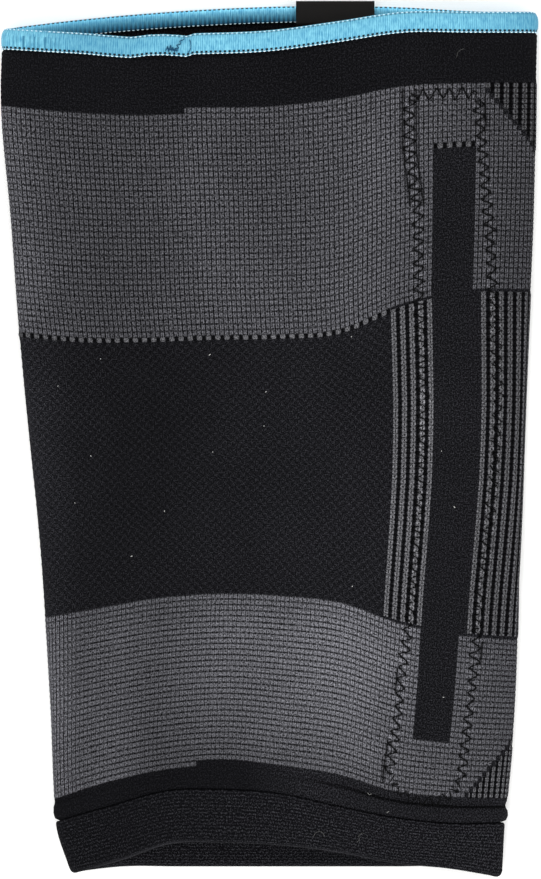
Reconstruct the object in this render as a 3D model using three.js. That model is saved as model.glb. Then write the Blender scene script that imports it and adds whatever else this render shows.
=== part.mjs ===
// Knee compression sleeve, lying flat with its front face up.
// Millimetres. X runs across the sleeve, Y from the calf end to the thigh end, and Z up from the
// surface that it lies on. The knitted tube is a flattened ring of cloth: a flat back layer, a
// crowned front layer that the knee panel draws in lengthwise, and a round fold at each side.

import * as THREE from 'three';

// Driving sizes of the sleeve as it lies
const SLEEVE_LENGTH = 284.8;
const THIGH_WIDTH = 176.8;
const CROWN_HEIGHT = 24;
const FOLD_RADIUS = 5.5;
const FRONT_DRAW_IN = 9.4;
const CLEARANCE = 0.3;

// Cloth thicknesses
const KNIT_WALL = 2.2;
const EDGE_WALL = 1.2;
const SHOULDER_LENGTH = 1.2;

// Elastic binding folded over the thigh end
const BINDING_WALL = 0.8;
const BINDING_DEPTH = 6.9;
const BINDING_INNER_DEPTH = 5.4;

// Turned hem folded over the calf end, and the pocket in it that takes the tube's edge
const HEM_WALL = 0.9;
const HEM_DEPTH = 15.6;
const HEM_POCKET_DEPTH = 5;

// Tuck of slack knit that stands in a roll just above the hem
const TUCK_LENGTH = 5.4;
const TUCK_RISE = 0.9;

// Tape sewn inside each side, over the stay: its wall and how far it stops short of both ends
const STAY_TAPE_WALL = 0.9;
const STAY_TAPE_INSET = 27.5;

// Blank label folded in two and sewn inside the back of the thigh end
const LABEL_WIDTH = 26;
const LABEL_LENGTH = 19;
const LABEL_PLY = 0.4;
const LABEL_RISE = 1.6;
const LABEL_BEND = 2.4;
const LABEL_CENTRE_X = 21.6;

// Colours of the yarns and tapes
const GREY_KNIT = 0x3c3c40;
const BLACK_KNIT = 0x1c1c1e;
const BLUE_ELASTIC = 0x7bc7e4;
const BLACK_TAPE = 0x202023;
const LABEL_BLACK = 0x1f1d1d;

// Steps of the faceted surfaces
const FRONT_STEPS = 26;
const BACK_STEPS = 12;
const FOLD_STEPS = 3;
const BODY_ROWS = 18;
const TAPE_STEPS = 5;
const TAPE_ROWS = 12;
const LABEL_STEPS = 2;
const EDGE_ARC_STEPS = 4;

// Outline seen from above, and the height of the crown, at shares of the sleeve's length from the
// thigh end. half and shift are shares of half the thigh width, crown of the crown height.
const OUTLINE = [
  { along: 0.00, half: 1.000, shift: 0.000, crown: 0.90 },
  { along: 0.12, half: 1.000, shift: -0.003, crown: 0.96 },
  { along: 0.24, half: 0.979, shift: 0.008, crown: 1.00 },
  { along: 0.36, half: 0.957, shift: 0.014, crown: 1.00 },
  { along: 0.50, half: 0.926, shift: 0.027, crown: 1.00 },
  { along: 0.66, half: 0.892, shift: 0.039, crown: 0.97 },
  { along: 0.80, half: 0.871, shift: 0.045, crown: 0.94 },
  { along: 0.95, half: 0.838, shift: 0.039, crown: 0.90 },
  { along: 1.00, half: 0.809, shift: 0.059, crown: 0.88 },
];

// Front layer at shares of the width from the left fold. rim and hem say how far the rim dips
// below, and the hem rises above, the ends of the back layer, as shares of the draw-in. tuck is
// the share of its rise that the tuck above the hem has there.
const FRONT_ENDS = [
  { across: 0.000, rim: 0.81, hem: 0.10, tuck: 0.6 },
  { across: 0.167, rim: 0.99, hem: 0.49, tuck: 0.0 },
  { across: 0.333, rim: 1.00, hem: 0.93, tuck: 0.0 },
  { across: 0.500, rim: 0.88, hem: 0.84, tuck: 0.0 },
  { across: 0.667, rim: 0.44, hem: 0.40, tuck: 0.8 },
  { across: 0.833, rim: 0.19, hem: 0.10, tuck: 1.0 },
  { across: 1.000, rim: 0.18, hem: 0.00, tuck: 1.0 },
];

// Roll of the tuck: its rise at shares of its length, from the hem upwards
const TUCK_ROLL = [
  { along: 0.00, rise: 0.5 },
  { along: 0.30, rise: 1.0 },
  { along: 0.65, rise: 0.9 },
  { along: 1.00, rise: 0.0 },
];

// Belly of the back layer's rim between the folds, as a share of the draw-in
const BACK_RIM_BELLY = 0.49;

// Edges of the stay channel on the front layer, as shares of the width from the left fold, at
// shares of the length. The channel on the back is its mirror image about the knee panel's middle.
const CHANNEL = [
  { along: 0.00, left: 0.755, right: 0.885 },
  { along: 0.15, left: 0.765, right: 0.898 },
  { along: 0.35, left: 0.785, right: 0.927 },
  { along: 0.55, left: 0.789, right: 0.930 },
  { along: 0.72, left: 0.772, right: 0.917 },
  { along: 1.00, left: 0.742, right: 0.902 },
];
const KNEE_PANEL_CENTRE = 0.35;

// Value of one column of a table at a share, on a smooth curve through the table's rows
function readTable(table, key, column, share) {
  const rows = table.length;
  let index = 0;
  while (index < rows - 2 && share > table[index + 1][key]) {
    index += 1;
  }
  const slope = (row) => {
    const before = table[Math.max(row - 1, 0)];
    const after = table[Math.min(row + 1, rows - 1)];
    return (after[column] - before[column]) / (after[key] - before[key]);
  };
  const start = table[index];
  const end = table[index + 1];
  const span = end[key] - start[key];
  const t = THREE.MathUtils.clamp((share - start[key]) / span, 0, 1);
  const bow = t * t * (3 - 2 * t);
  const rise = t * (1 - t) * (1 - t) * slope(index) * span;
  const fall = t * t * (1 - t) * slope(index + 1) * span;
  return THREE.MathUtils.lerp(start[column], end[column], bow) + rise - fall;
}

// Section of the tube at one height. The front layer is a parabola from fold to fold, and lean is
// its slope there, where each fold's arc takes over. The back layer is flat.
function sectionAt(y) {
  const along = THREE.MathUtils.clamp(0.5 - y / SLEEVE_LENGTH, 0, 1);
  const halfThigh = THIGH_WIDTH / 2;
  const half = readTable(OUTLINE, 'along', 'half', along) * halfThigh;
  const flat = half - FOLD_RADIUS;
  const crown = readTable(OUTLINE, 'along', 'crown', along) * CROWN_HEIGHT;
  const lean = Math.atan((2 * (crown - 2 * FOLD_RADIUS)) / flat);
  return {
    along,
    half,
    middle: readTable(OUTLINE, 'along', 'shift', along) * halfThigh,
    crown,
    lean: { front: lean, back: 0 },
    reach: { front: flat + FOLD_RADIUS * Math.sin(lean), back: flat },
    flat,
  };
}

// Angle round the fold from straight up or down, at a share of the way to the outermost point
function foldAngle(section, station) {
  return THREE.MathUtils.lerp(section.lean[station.layer], Math.PI / 2, station.turn);
}

// Point of the section at a depth below the cloth's outer face. A station names the layer, the
// share across it from -1 to 1, and the share of the turn round the fold, which is 0 off the fold.
function sectionPoint(station, y, depth) {
  const section = sectionAt(y);
  const side = Math.sign(station.across);
  if (station.turn > 0) {
    const angle = foldAngle(section, station);
    const up = station.layer === 'front' ? 1 : -1;
    const radius = FOLD_RADIUS - depth;
    const x = section.middle + side * (section.flat + radius * Math.sin(angle));
    return new THREE.Vector3(x, y, FOLD_RADIUS + up * radius * Math.cos(angle));
  }
  const x = section.middle + station.across * section.reach[station.layer];
  if (station.layer === 'back') {
    return new THREE.Vector3(x, y, depth);
  }
  const foldTop = FOLD_RADIUS * (1 + Math.cos(section.lean.front));
  const rise = section.crown - foldTop;
  const z = foldTop + rise * (1 - station.across ** 2);
  const slope = (-2 * rise * station.across) / section.reach.front;
  const length = Math.hypot(slope, 1);
  return new THREE.Vector3(x + (slope / length) * depth, y, z - depth / length);
}

// Station of a layer at a distance across from the section's middle
function stationAt(layer, x, section) {
  const reach = section.reach[layer];
  if (Math.abs(x) <= reach) {
    return { layer, across: x / reach, turn: 0 };
  }
  const angle = Math.asin(Math.min((Math.abs(x) - section.flat) / FOLD_RADIUS, 1));
  const start = section.lean[layer];
  return { layer, across: Math.sign(x), turn: (angle - start) / (Math.PI / 2 - start) };
}

// Share of the whole width, from the left fold, at which a station lies
function shareAcross(station, y) {
  const section = sectionAt(y);
  const side = Math.sign(station.across);
  const onFold = side * (section.flat + FOLD_RADIUS * Math.sin(foldAngle(section, station)));
  const x = station.turn > 0 ? onFold : station.across * section.reach[station.layer];
  return 0.5 + (0.5 * x) / section.half;
}

// Heights of the rim and of the hem's edge on one layer at a share of the width
function endHeight(layer, end, share) {
  const sign = end === 'rim' ? 1 : -1;
  const reach = (sign * SLEEVE_LENGTH) / 2;
  if (layer === 'front') {
    return reach - sign * readTable(FRONT_ENDS, 'across', end, share) * FRONT_DRAW_IN;
  }
  const first = FRONT_ENDS[0][end];
  const last = FRONT_ENDS[FRONT_ENDS.length - 1][end];
  const belly = end === 'rim' ? BACK_RIM_BELLY * 4 * share * (1 - share) : 0;
  return reach - sign * (THREE.MathUtils.lerp(first, last, share) - belly) * FRONT_DRAW_IN;
}

// Distances from the ends at which the tube's full wall starts and stops
const BODY_TOP = BINDING_DEPTH + CLEARANCE + SHOULDER_LENGTH;
const TUCK_BOTTOM = HEM_DEPTH + CLEARANCE + SHOULDER_LENGTH;
const BODY_BOTTOM = TUCK_BOTTOM + TUCK_LENGTH;

// Height of a profile point: a distance from the rim or from the hem's edge, or a share between
// two such distances
function pointHeight(point, station) {
  const rimShare = shareAcross(station, SLEEVE_LENGTH / 2);
  const hemShare = shareAcross(station, -SLEEVE_LENGTH / 2);
  const rim = endHeight(station.layer, 'rim', rimShare);
  const hem = endHeight(station.layer, 'hem', hemShare);
  if (point.fromRim !== undefined) {
    return rim - point.fromRim;
  }
  if (point.fromHem !== undefined) {
    return hem + point.fromHem;
  }
  return THREE.MathUtils.lerp(rim - point.top, hem + point.bottom, point.share);
}

// Share of its rise that the tuck has at a station: from the table on the front layer, and fading
// out round the fold on the back layer, which lies flat
function tuckShare(station) {
  const share = shareAcross(station, -SLEEVE_LENGTH / 2);
  const onFront = Math.max(readTable(FRONT_ENDS, 'across', 'tuck', share), 0);
  return station.layer === 'front' ? onFront : onFront * station.turn;
}

// Stations once round the tube: front layer from left to right, right fold, back layer, left fold
function stationsRound() {
  const stations = [];
  const addLayer = (layer, first, steps) => {
    for (let k = 0; k < FOLD_STEPS; k += 1) {
      stations.push({ layer, across: first, turn: 1 - k / FOLD_STEPS });
    }
    for (let k = 0; k <= steps; k += 1) {
      stations.push({ layer, across: first * (1 - (2 * k) / steps), turn: 0 });
    }
    for (let k = 1; k < FOLD_STEPS; k += 1) {
      stations.push({ layer, across: -first, turn: k / FOLD_STEPS });
    }
  };
  addLayer('front', -1, FRONT_STEPS);
  addLayer('back', 1, BACK_STEPS);
  return stations;
}

// Mesh geometry from points and triangles of their indices
function toGeometry(points, triangles) {
  const geometry = new THREE.BufferGeometry();
  const coordinates = points.flatMap((point) => point.toArray());
  geometry.setAttribute('position', new THREE.Float32BufferAttribute(coordinates, 3));
  geometry.setIndex(triangles);
  geometry.computeVertexNormals();
  return geometry;
}

// Closed band once round the tube: a closed profile of points, each a height and a depth below the
// outer face, carried through the stations. The profile runs down the outside and up the inside.
function bandRound(profile) {
  const stations = stationsRound();
  const count = profile.length;
  const points = [];
  const triangles = [];
  stations.forEach((station, i) => {
    const next = (i + 1) % stations.length;
    const tuck = TUCK_RISE * tuckShare(station);
    profile.forEach((point, j) => {
      const depth = point.depth - tuck * (point.tuck ?? 0);
      points.push(sectionPoint(station, pointHeight(point, station), depth));
      const a = i * count + j;
      const b = i * count + ((j + 1) % count);
      const c = next * count + ((j + 1) % count);
      const d = next * count + j;
      triangles.push(a, b, c, a, c, d);
    });
  });
  return toGeometry(points, triangles);
}

// Closed strip on the inside of one layer. Each row has a height, the x of its two edges from the
// section's middle, and the depths of its outer and inner face.
function stripInside(layer, rows, steps) {
  const points = [];
  const triangles = [];
  const width = 2 * (steps + 1);
  rows.forEach((row) => {
    for (let k = 0; k < width; k += 1) {
      const onOuter = k <= steps;
      const step = onOuter ? k : width - 1 - k;
      const x = THREE.MathUtils.lerp(row.left, row.right, step / steps);
      const station = stationAt(layer, x, sectionAt(row.y));
      points.push(sectionPoint(station, row.y, onOuter ? row.outer : row.inner));
    }
  });
  const addQuad = (a, b, c, d) => {
    triangles.push(...(layer === 'front' ? [a, b, c, a, c, d] : [a, d, c, a, c, b]));
  };
  for (let r = 0; r < rows.length - 1; r += 1) {
    for (let k = 0; k < width; k += 1) {
      const here = r * width;
      const next = (k + 1) % width;
      addQuad(here + k, here + width + k, here + width + next, here + next);
    }
  }
  const lastRow = (rows.length - 1) * width;
  for (let k = 0; k < steps; k += 1) {
    const far = width - 1 - k;
    addQuad(k, k + 1, far - 1, far);
    addQuad(lastRow + k, lastRow + far, lastRow + far - 1, lastRow + k + 1);
  }
  return toGeometry(points, triangles);
}

// Knitted tube: full wall in the body, a thin edge that runs into the binding and into the hem
function knitSleeveGeometry() {
  const bindingDepth = BINDING_WALL + CLEARANCE;
  const hemDepth = HEM_WALL + CLEARANCE;
  const bodyRow = (k, depth) => ({ share: k / BODY_ROWS, top: BODY_TOP, bottom: BODY_BOTTOM, depth });
  const profile = [
    { fromRim: bindingDepth, depth: bindingDepth },
    { fromRim: BINDING_DEPTH + CLEARANCE, depth: bindingDepth },
  ];
  for (let k = 0; k < BODY_ROWS; k += 1) {
    profile.push(bodyRow(k, 0));
  }
  [...TUCK_ROLL].reverse().forEach((row) => {
    profile.push({ fromHem: TUCK_BOTTOM + row.along * TUCK_LENGTH, depth: 0, tuck: row.rise });
  });
  profile.push({ fromHem: HEM_DEPTH + CLEARANCE, depth: hemDepth });
  profile.push({ fromHem: HEM_DEPTH - HEM_POCKET_DEPTH + CLEARANCE, depth: hemDepth });
  profile.push({ fromHem: HEM_DEPTH - HEM_POCKET_DEPTH + CLEARANCE, depth: hemDepth + EDGE_WALL });
  profile.push({ fromHem: HEM_DEPTH + CLEARANCE, depth: hemDepth + EDGE_WALL });
  for (let k = BODY_ROWS; k >= 0; k -= 1) {
    profile.push(bodyRow(k, KNIT_WALL));
  }
  profile.push({ fromRim: BINDING_DEPTH + CLEARANCE, depth: bindingDepth + EDGE_WALL });
  profile.push({ fromRim: bindingDepth, depth: bindingDepth + EDGE_WALL });
  return bandRound(profile);
}

// Rounded edge of a folded band: a half circle of the band's whole thickness, from the inside out
function foldedEdge(thickness, end) {
  const radius = thickness / 2;
  const points = [];
  for (let k = 0; k <= EDGE_ARC_STEPS; k += 1) {
    const angle = (Math.PI * k) / EDGE_ARC_STEPS;
    const distance = radius * (1 - Math.sin(angle));
    const rise = radius * Math.cos(angle);
    const onRim = { fromRim: distance, depth: radius + rise };
    const onHem = { fromHem: distance, depth: radius - rise };
    points.push(end === 'rim' ? onRim : onHem);
  }
  return points;
}

// Elastic binding: one leg outside the tube's edge, a shorter leg inside it, joined over the rim
function topBindingGeometry() {
  const slot = EDGE_WALL + 2 * CLEARANCE;
  const thickness = 2 * BINDING_WALL + slot;
  return bandRound([
    ...foldedEdge(thickness, 'rim'),
    { fromRim: BINDING_DEPTH, depth: 0 },
    { fromRim: BINDING_DEPTH, depth: BINDING_WALL },
    { fromRim: BINDING_WALL, depth: BINDING_WALL },
    { fromRim: BINDING_WALL, depth: BINDING_WALL + slot },
    { fromRim: BINDING_INNER_DEPTH, depth: BINDING_WALL + slot },
    { fromRim: BINDING_INNER_DEPTH, depth: thickness },
  ]);
}

// Turned hem: a doubled band with a round lower edge and a slot that takes the tube's edge
function bottomHemGeometry() {
  const slot = EDGE_WALL + 2 * CLEARANCE;
  const thickness = 2 * HEM_WALL + slot;
  const slotEnd = HEM_DEPTH - HEM_POCKET_DEPTH;
  return bandRound([
    ...foldedEdge(thickness, 'hem'),
    { fromHem: HEM_DEPTH, depth: thickness },
    { fromHem: HEM_DEPTH, depth: HEM_WALL + slot },
    { fromHem: slotEnd, depth: HEM_WALL + slot },
    { fromHem: slotEnd, depth: HEM_WALL },
    { fromHem: HEM_DEPTH, depth: HEM_WALL },
    { fromHem: HEM_DEPTH, depth: 0 },
  ]);
}

// Stay tape inside one side: a strip under the channel's edges, clear of the knit's inner face
function stayTapeGeometry(layer) {
  const foldLength = 2 * (Math.PI / 2 - 1) * FOLD_RADIUS;
  const rows = [];
  for (let k = 0; k <= TAPE_ROWS; k += 1) {
    const end = layer === 'front' ? 1 : 0;
    const top = endHeight(layer, 'rim', end) - STAY_TAPE_INSET;
    const bottom = endHeight(layer, 'hem', end) + STAY_TAPE_INSET;
    const y = THREE.MathUtils.lerp(top, bottom, k / TAPE_ROWS);
    const section = sectionAt(y);
    const edgeAt = (column) => {
      const share = readTable(CHANNEL, 'along', column, section.along);
      if (layer === 'front') {
        return (2 * share - 1) * section.half;
      }
      return (2 * (share - 2 * KNEE_PANEL_CENTRE) - 1) * section.half - foldLength;
    };
    rows.push({
      y,
      left: edgeAt('left'),
      right: edgeAt('right'),
      outer: KNIT_WALL + CLEARANCE,
      inner: KNIT_WALL + CLEARANCE + STAY_TAPE_WALL,
    });
  }
  return stripInside(layer, rows, TAPE_STEPS);
}

// Label: two plies that lie on the binding's inner leg, step down onto the knit, and stand a
// little above the rim with a rounded fold
function labelTabGeometry() {
  const thickness = 2 * LABEL_PLY;
  const onBinding = 2 * BINDING_WALL + EDGE_WALL + 3 * CLEARANCE;
  const onKnit = KNIT_WALL + CLEARANCE;
  const share = 0.5 + LABEL_CENTRE_X / THIGH_WIDTH;
  const rim = endHeight('back', 'rim', share);
  const step = BINDING_INNER_DEPTH + CLEARANCE;
  const roll = LABEL_PLY / 2;
  const rows = [
    { fromRim: -LABEL_RISE, outer: onBinding + roll, inner: onBinding + thickness - roll },
    { fromRim: roll - LABEL_RISE, outer: onBinding, inner: onBinding + thickness },
    { fromRim: step, outer: onBinding, inner: onBinding + thickness },
    { fromRim: step + LABEL_BEND, outer: onKnit, inner: onKnit + thickness },
    { fromRim: LABEL_LENGTH - LABEL_RISE, outer: onKnit, inner: onKnit + thickness },
  ].map((row) => {
    const y = rim - row.fromRim;
    const centre = LABEL_CENTRE_X - sectionAt(y).middle;
    return { ...row, y, left: centre - LABEL_WIDTH / 2, right: centre + LABEL_WIDTH / 2 };
  });
  return stripInside('back', rows, LABEL_STEPS);
}

function cloth(color, roughness) {
  return new THREE.MeshStandardMaterial({ color, roughness, metalness: 0 });
}

function addPiece(group, name, geometry, material) {
  const mesh = new THREE.Mesh(geometry, material);
  mesh.name = name;
  group.add(mesh);
}

const sleeve = new THREE.Group();
addPiece(sleeve, 'knit_sleeve', knitSleeveGeometry(), cloth(GREY_KNIT, 0.9));
addPiece(sleeve, 'top_binding', topBindingGeometry(), cloth(BLUE_ELASTIC, 0.7));
addPiece(sleeve, 'bottom_hem', bottomHemGeometry(), cloth(BLACK_KNIT, 0.9));
addPiece(sleeve, 'stay_tape_right', stayTapeGeometry('front'), cloth(BLACK_TAPE, 0.85));
addPiece(sleeve, 'stay_tape_left', stayTapeGeometry('back'), cloth(BLACK_TAPE, 0.85));
addPiece(sleeve, 'label_tab', labelTabGeometry(), cloth(LABEL_BLACK, 0.6));

// The origin lies on the floor under the middle of the sleeve
const reach = new THREE.Box3().setFromObject(sleeve);
const middle = reach.getCenter(new THREE.Vector3());
sleeve.position.set(-middle.x, -middle.y, -reach.min.z);
sleeve.updateMatrixWorld(true);

export default sleeve;
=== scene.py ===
import bpy
import numpy as np
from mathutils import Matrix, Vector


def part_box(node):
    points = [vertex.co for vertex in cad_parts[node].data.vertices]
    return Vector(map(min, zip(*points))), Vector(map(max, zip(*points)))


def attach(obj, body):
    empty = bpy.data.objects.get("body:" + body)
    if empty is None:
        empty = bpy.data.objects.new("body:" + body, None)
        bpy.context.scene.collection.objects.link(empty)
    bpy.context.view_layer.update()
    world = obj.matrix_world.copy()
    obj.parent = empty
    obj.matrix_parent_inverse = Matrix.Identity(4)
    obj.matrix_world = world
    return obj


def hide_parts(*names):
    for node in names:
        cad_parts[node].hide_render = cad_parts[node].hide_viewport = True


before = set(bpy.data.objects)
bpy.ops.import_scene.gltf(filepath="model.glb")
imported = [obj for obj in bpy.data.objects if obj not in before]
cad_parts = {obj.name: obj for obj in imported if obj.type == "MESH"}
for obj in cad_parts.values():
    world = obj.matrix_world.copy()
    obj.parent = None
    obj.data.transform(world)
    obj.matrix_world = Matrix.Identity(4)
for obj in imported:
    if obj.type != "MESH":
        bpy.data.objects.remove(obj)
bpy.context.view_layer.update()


# Table top and studio light. The photograph is a cut-out taken from straight above through a long
# lens, lit softly from the calf end, so the far side of the open thigh end lies in shade.
MM = 0.001
PHOTO_MM_PER_PIXEL = 0.33
PHOTO_WIDTH = 541
PHOTO_HEIGHT = 879
LENS_MM = 400.0
SENSOR_MM = 36.0
FOCUS_HEIGHT_MM = 14.0
FLOOR_HALF_M = 3.0
FLOOR_WHITE = "#FCFCFB"


def linear_colour(code):
    """Linear red, green, blue and alpha of an sRGB hex colour: the sRGB curve undone on each part."""
    parts = np.array([int(code[k:k + 2], 16) for k in (1, 3, 5)]) / 255.0
    curve = np.where(parts <= 0.04045, parts / 12.92, ((parts + 0.055) / 1.055) ** 2.4)
    return (*curve.tolist(), 1.0)


def add_node(material, kind, inputs=None, **settings):
    """Adds one node. settings are its fields, and inputs maps sockets to values or to outputs."""
    tree = material.node_tree
    new = tree.nodes.new("ShaderNode" + kind)
    for field, value in settings.items():
        setattr(new, field, value)
    for socket, value in (inputs or {}).items():
        if isinstance(value, bpy.types.NodeSocket):
            tree.links.new(value, new.inputs[socket])
        else:
            new.inputs[socket].default_value = value
    return new


def new_material(name):
    """Empty node material of that name."""
    material = bpy.data.materials.new(name)
    material.use_nodes = True
    material.node_tree.nodes.clear()
    return material


def new_piece(name, points_mm, quads, material):
    """Smooth-shaded mesh object from points in millimetres and quads of their numbers."""
    mesh = bpy.data.meshes.new(name)
    mesh.vertices.add(len(points_mm))
    mesh.vertices.foreach_set("co", (points_mm * MM).astype(np.float32).ravel())
    mesh.loops.add(quads.size)
    mesh.loops.foreach_set("vertex_index", quads.astype(np.int32).ravel())
    mesh.polygons.add(len(quads))
    mesh.polygons.foreach_set("loop_start", np.arange(0, quads.size, 4, dtype=np.int32))
    mesh.polygons.foreach_set("use_smooth", np.ones(len(quads), dtype=bool))
    mesh.materials.append(material)
    mesh.update(calc_edges=True)
    piece = bpy.data.objects.new(name, mesh)
    bpy.context.scene.collection.objects.link(piece)
    return piece


# Matt white paper with a faint grain: it gives the eye nothing but the sleeve's own soft shadow
floor_paper = new_material("white_seamless_paper")
paper_grain = add_node(floor_paper, "TexNoise", {"Scale": 220.0, "Detail": 3.0})
paper_bump = add_node(
    floor_paper, "Bump", {"Strength": 0.05, "Distance": 0.0002, "Height": paper_grain.outputs[0]}
)
paper_shader = add_node(
    floor_paper,
    "BsdfPrincipled",
    {
        "Base Color": linear_colour(FLOOR_WHITE),
        "Roughness": 0.9,
        "Specular IOR Level": 0.1,
        "Normal": paper_bump.outputs[0],
    },
)
add_node(floor_paper, "OutputMaterial", {"Surface": paper_shader.outputs[0]})
floor_corners = np.array([(-1, -1, 0), (1, -1, 0), (1, 1, 0), (-1, 1, 0)]) * FLOOR_HALF_M / MM
floor = new_piece("table_top", floor_corners, np.array([[0, 1, 2, 3]]), floor_paper)

AIR_STRENGTH = 1.27
world = bpy.data.worlds.new("studio_air")
world.use_nodes = True
world.node_tree.nodes["Background"].inputs["Color"].default_value = (1.0, 1.0, 1.0, 1.0)
world.node_tree.nodes["Background"].inputs["Strength"].default_value = AIR_STRENGTH
bpy.context.scene.world = world
bpy.context.scene.view_settings.view_transform = "Standard"


# Softboxes: name, place and side in metres, power in watts
SOFTBOXES = [
    ("softbox_calf_end", (-0.25, -1.0, 1.4), 0.9, 11.5),
    ("softbox_side", (1.3, 0.3, 1.1), 1.0, 5.0),
]


def add_softbox(name, place, size, power):
    """Square area lamp at a place, turned towards the origin, out of the camera's sight."""
    lamp = bpy.data.lights.new(name, "AREA")
    lamp.size = size
    lamp.energy = power
    box = bpy.data.objects.new(name, lamp)
    box.location = place
    box.rotation_euler = Vector(-np.array(place)).to_track_quat("-Z", "Y").to_euler()
    box.visible_camera = False
    bpy.context.scene.collection.objects.link(box)


for softbox in SOFTBOXES:
    add_softbox(*softbox)


# Knitted tube. A nylon and elastane tube from a circular knitting machine, in grey and black yarn:
# a black bird's-eye knee panel, plain grey bands above and below it, and grey ribs that run past
# both sides. The ends go into the binding and into the hem, where they are sewn.
SLEEVE_LENGTH = 284.8
HALF_THIGH = 88.4
CROWN_HEIGHT = 24.0
FOLD_RADIUS = 5.5
KNIT_WALL = 2.2
BINDING_WALL = 0.8
HEM_WALL = 0.9
EDGE_WALL = 1.2
CLEARANCE = 0.3
LAYER_WALES = 116
ROUND_WALES = 232
LEVEL_SHARES = np.linspace(0, 1, 9)

# Rows are shares of the length from the thigh end, then half width, shift and crown as shares.
OUTLINE = np.array([
    (0.00, 1.000, 0.000, 0.90),
    (0.12, 1.000, -0.003, 0.96),
    (0.24, 0.979, 0.008, 1.00),
    (0.36, 0.957, 0.014, 1.00),
    (0.50, 0.926, 0.027, 1.00),
    (0.66, 0.892, 0.039, 0.97),
    (0.80, 0.871, 0.045, 0.94),
    (0.95, 0.838, 0.039, 0.90),
    (1.00, 0.809, 0.059, 0.88),
])

# How far the cloth has twisted round the leg, in wales, at shares of the length
TWIST = np.array([
    (0.0, 0.0), (0.33, 0.0), (0.41, -0.5), (0.46, -0.75), (0.50, -0.75), (0.55, -0.6), (0.60, -0.1),
    (0.64, 0.4), (0.68, 0.95), (0.70, 1.2), (0.85, 2.7), (1.0, 3.2),
])

# Level lines of eight courses, as rows of the photograph at nine shares of the width: each course
# number, then the front layer and the back layer from the left fold to the right.
RIM_COURSE = -4.0
HEM_COURSE = 154.0
BELLY = 56 * LEVEL_SHARES * (1 - LEVEL_SHARES)
BACK_RIM = 27.5 - 16.5 * LEVEL_SHARES - BELLY + np.array([0, 0, 0, 0, 0, 0.3, 1.2, 2.6, 0])
LEVELS = [
    (RIM_COURSE, (27.5, 32, 36, 34, 31, 22, 12, 11.5, 11), BACK_RIM),
    (0, (50, 54, 59.5, 57, 54.5, 44.5, 33, 33.3, 32), BACK_RIM + 21),
    (9, (99, 106, 109.5, 108, 107, 99.5, 86.5, 83, 82), 99 - 17 * LEVEL_SHARES),
    (48, (332, 338, 338, 336, 335, 330, 304, 290, 289), (332, 297, 289, 289, 289, 289, 289, 289, 289)),
    (110, (618, 607, 597, 593, 595, 602, 623, 635, 640), (618, 634, 640, 640, 640, 640, 640, 640, 640)),
    (140, (794, 776, 764, 759, 765, 774, 791, 797, 799), 794 + 5 * LEVEL_SHARES),
    (145, (822, 806, 790.5, 789, 793, 805.5, 817, 823.6, 823.6), 822 + 1.6 * LEVEL_SHARES),
    (HEM_COURSE, (874, 860.5, 843.5, 842.5, 845, 852, 863, 868.5, 878),
     (874, 868, 868, 868, 868, 868, 868, 868.5, 878)),
]
# The photograph's row halfway down the sleeve, where heights count from
MIDDLE_ROW = 437.5


def smooth_table(places, values, share):
    """Cubic through a table's rows, whose slope at a row is that between the rows beside it."""
    places = np.asarray(places, float)
    values = np.asarray(values, float)
    before = np.maximum(np.arange(len(places)) - 1, 0)
    after = np.minimum(np.arange(len(places)) + 1, len(places) - 1)
    slopes = (values[after] - values[before]) / (places[after] - places[before])
    row = np.searchsorted(places[1:-1], share)
    span = places[row + 1] - places[row]
    t = np.clip((share - places[row]) / span, 0, 1)
    bow = t * t * (3 - 2 * t)
    rise = t * (1 - t) ** 2 * slopes[row] * span
    fall = t * t * (1 - t) * slopes[row + 1] * span
    return values[row] * (1 - bow) + values[row + 1] * bow + rise - fall


def section_at(y):
    """Sizes of the tube's section at heights y: its half width, shift, flat half, lean and rise."""
    along = np.clip(0.5 - y / SLEEVE_LENGTH, 0, 1)
    half = smooth_table(OUTLINE[:, 0], OUTLINE[:, 1], along) * HALF_THIGH
    middle = smooth_table(OUTLINE[:, 0], OUTLINE[:, 2], along) * HALF_THIGH
    crown = smooth_table(OUTLINE[:, 0], OUTLINE[:, 3], along) * CROWN_HEIGHT
    flat = half - FOLD_RADIUS
    lean = np.arctan(2 * (crown - 2 * FOLD_RADIUS) / flat)
    reach = flat + FOLD_RADIUS * np.sin(lean)
    fold_top = FOLD_RADIUS * (1 + np.cos(lean))
    return along, half, middle, flat, lean, reach, fold_top, crown - fold_top


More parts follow.
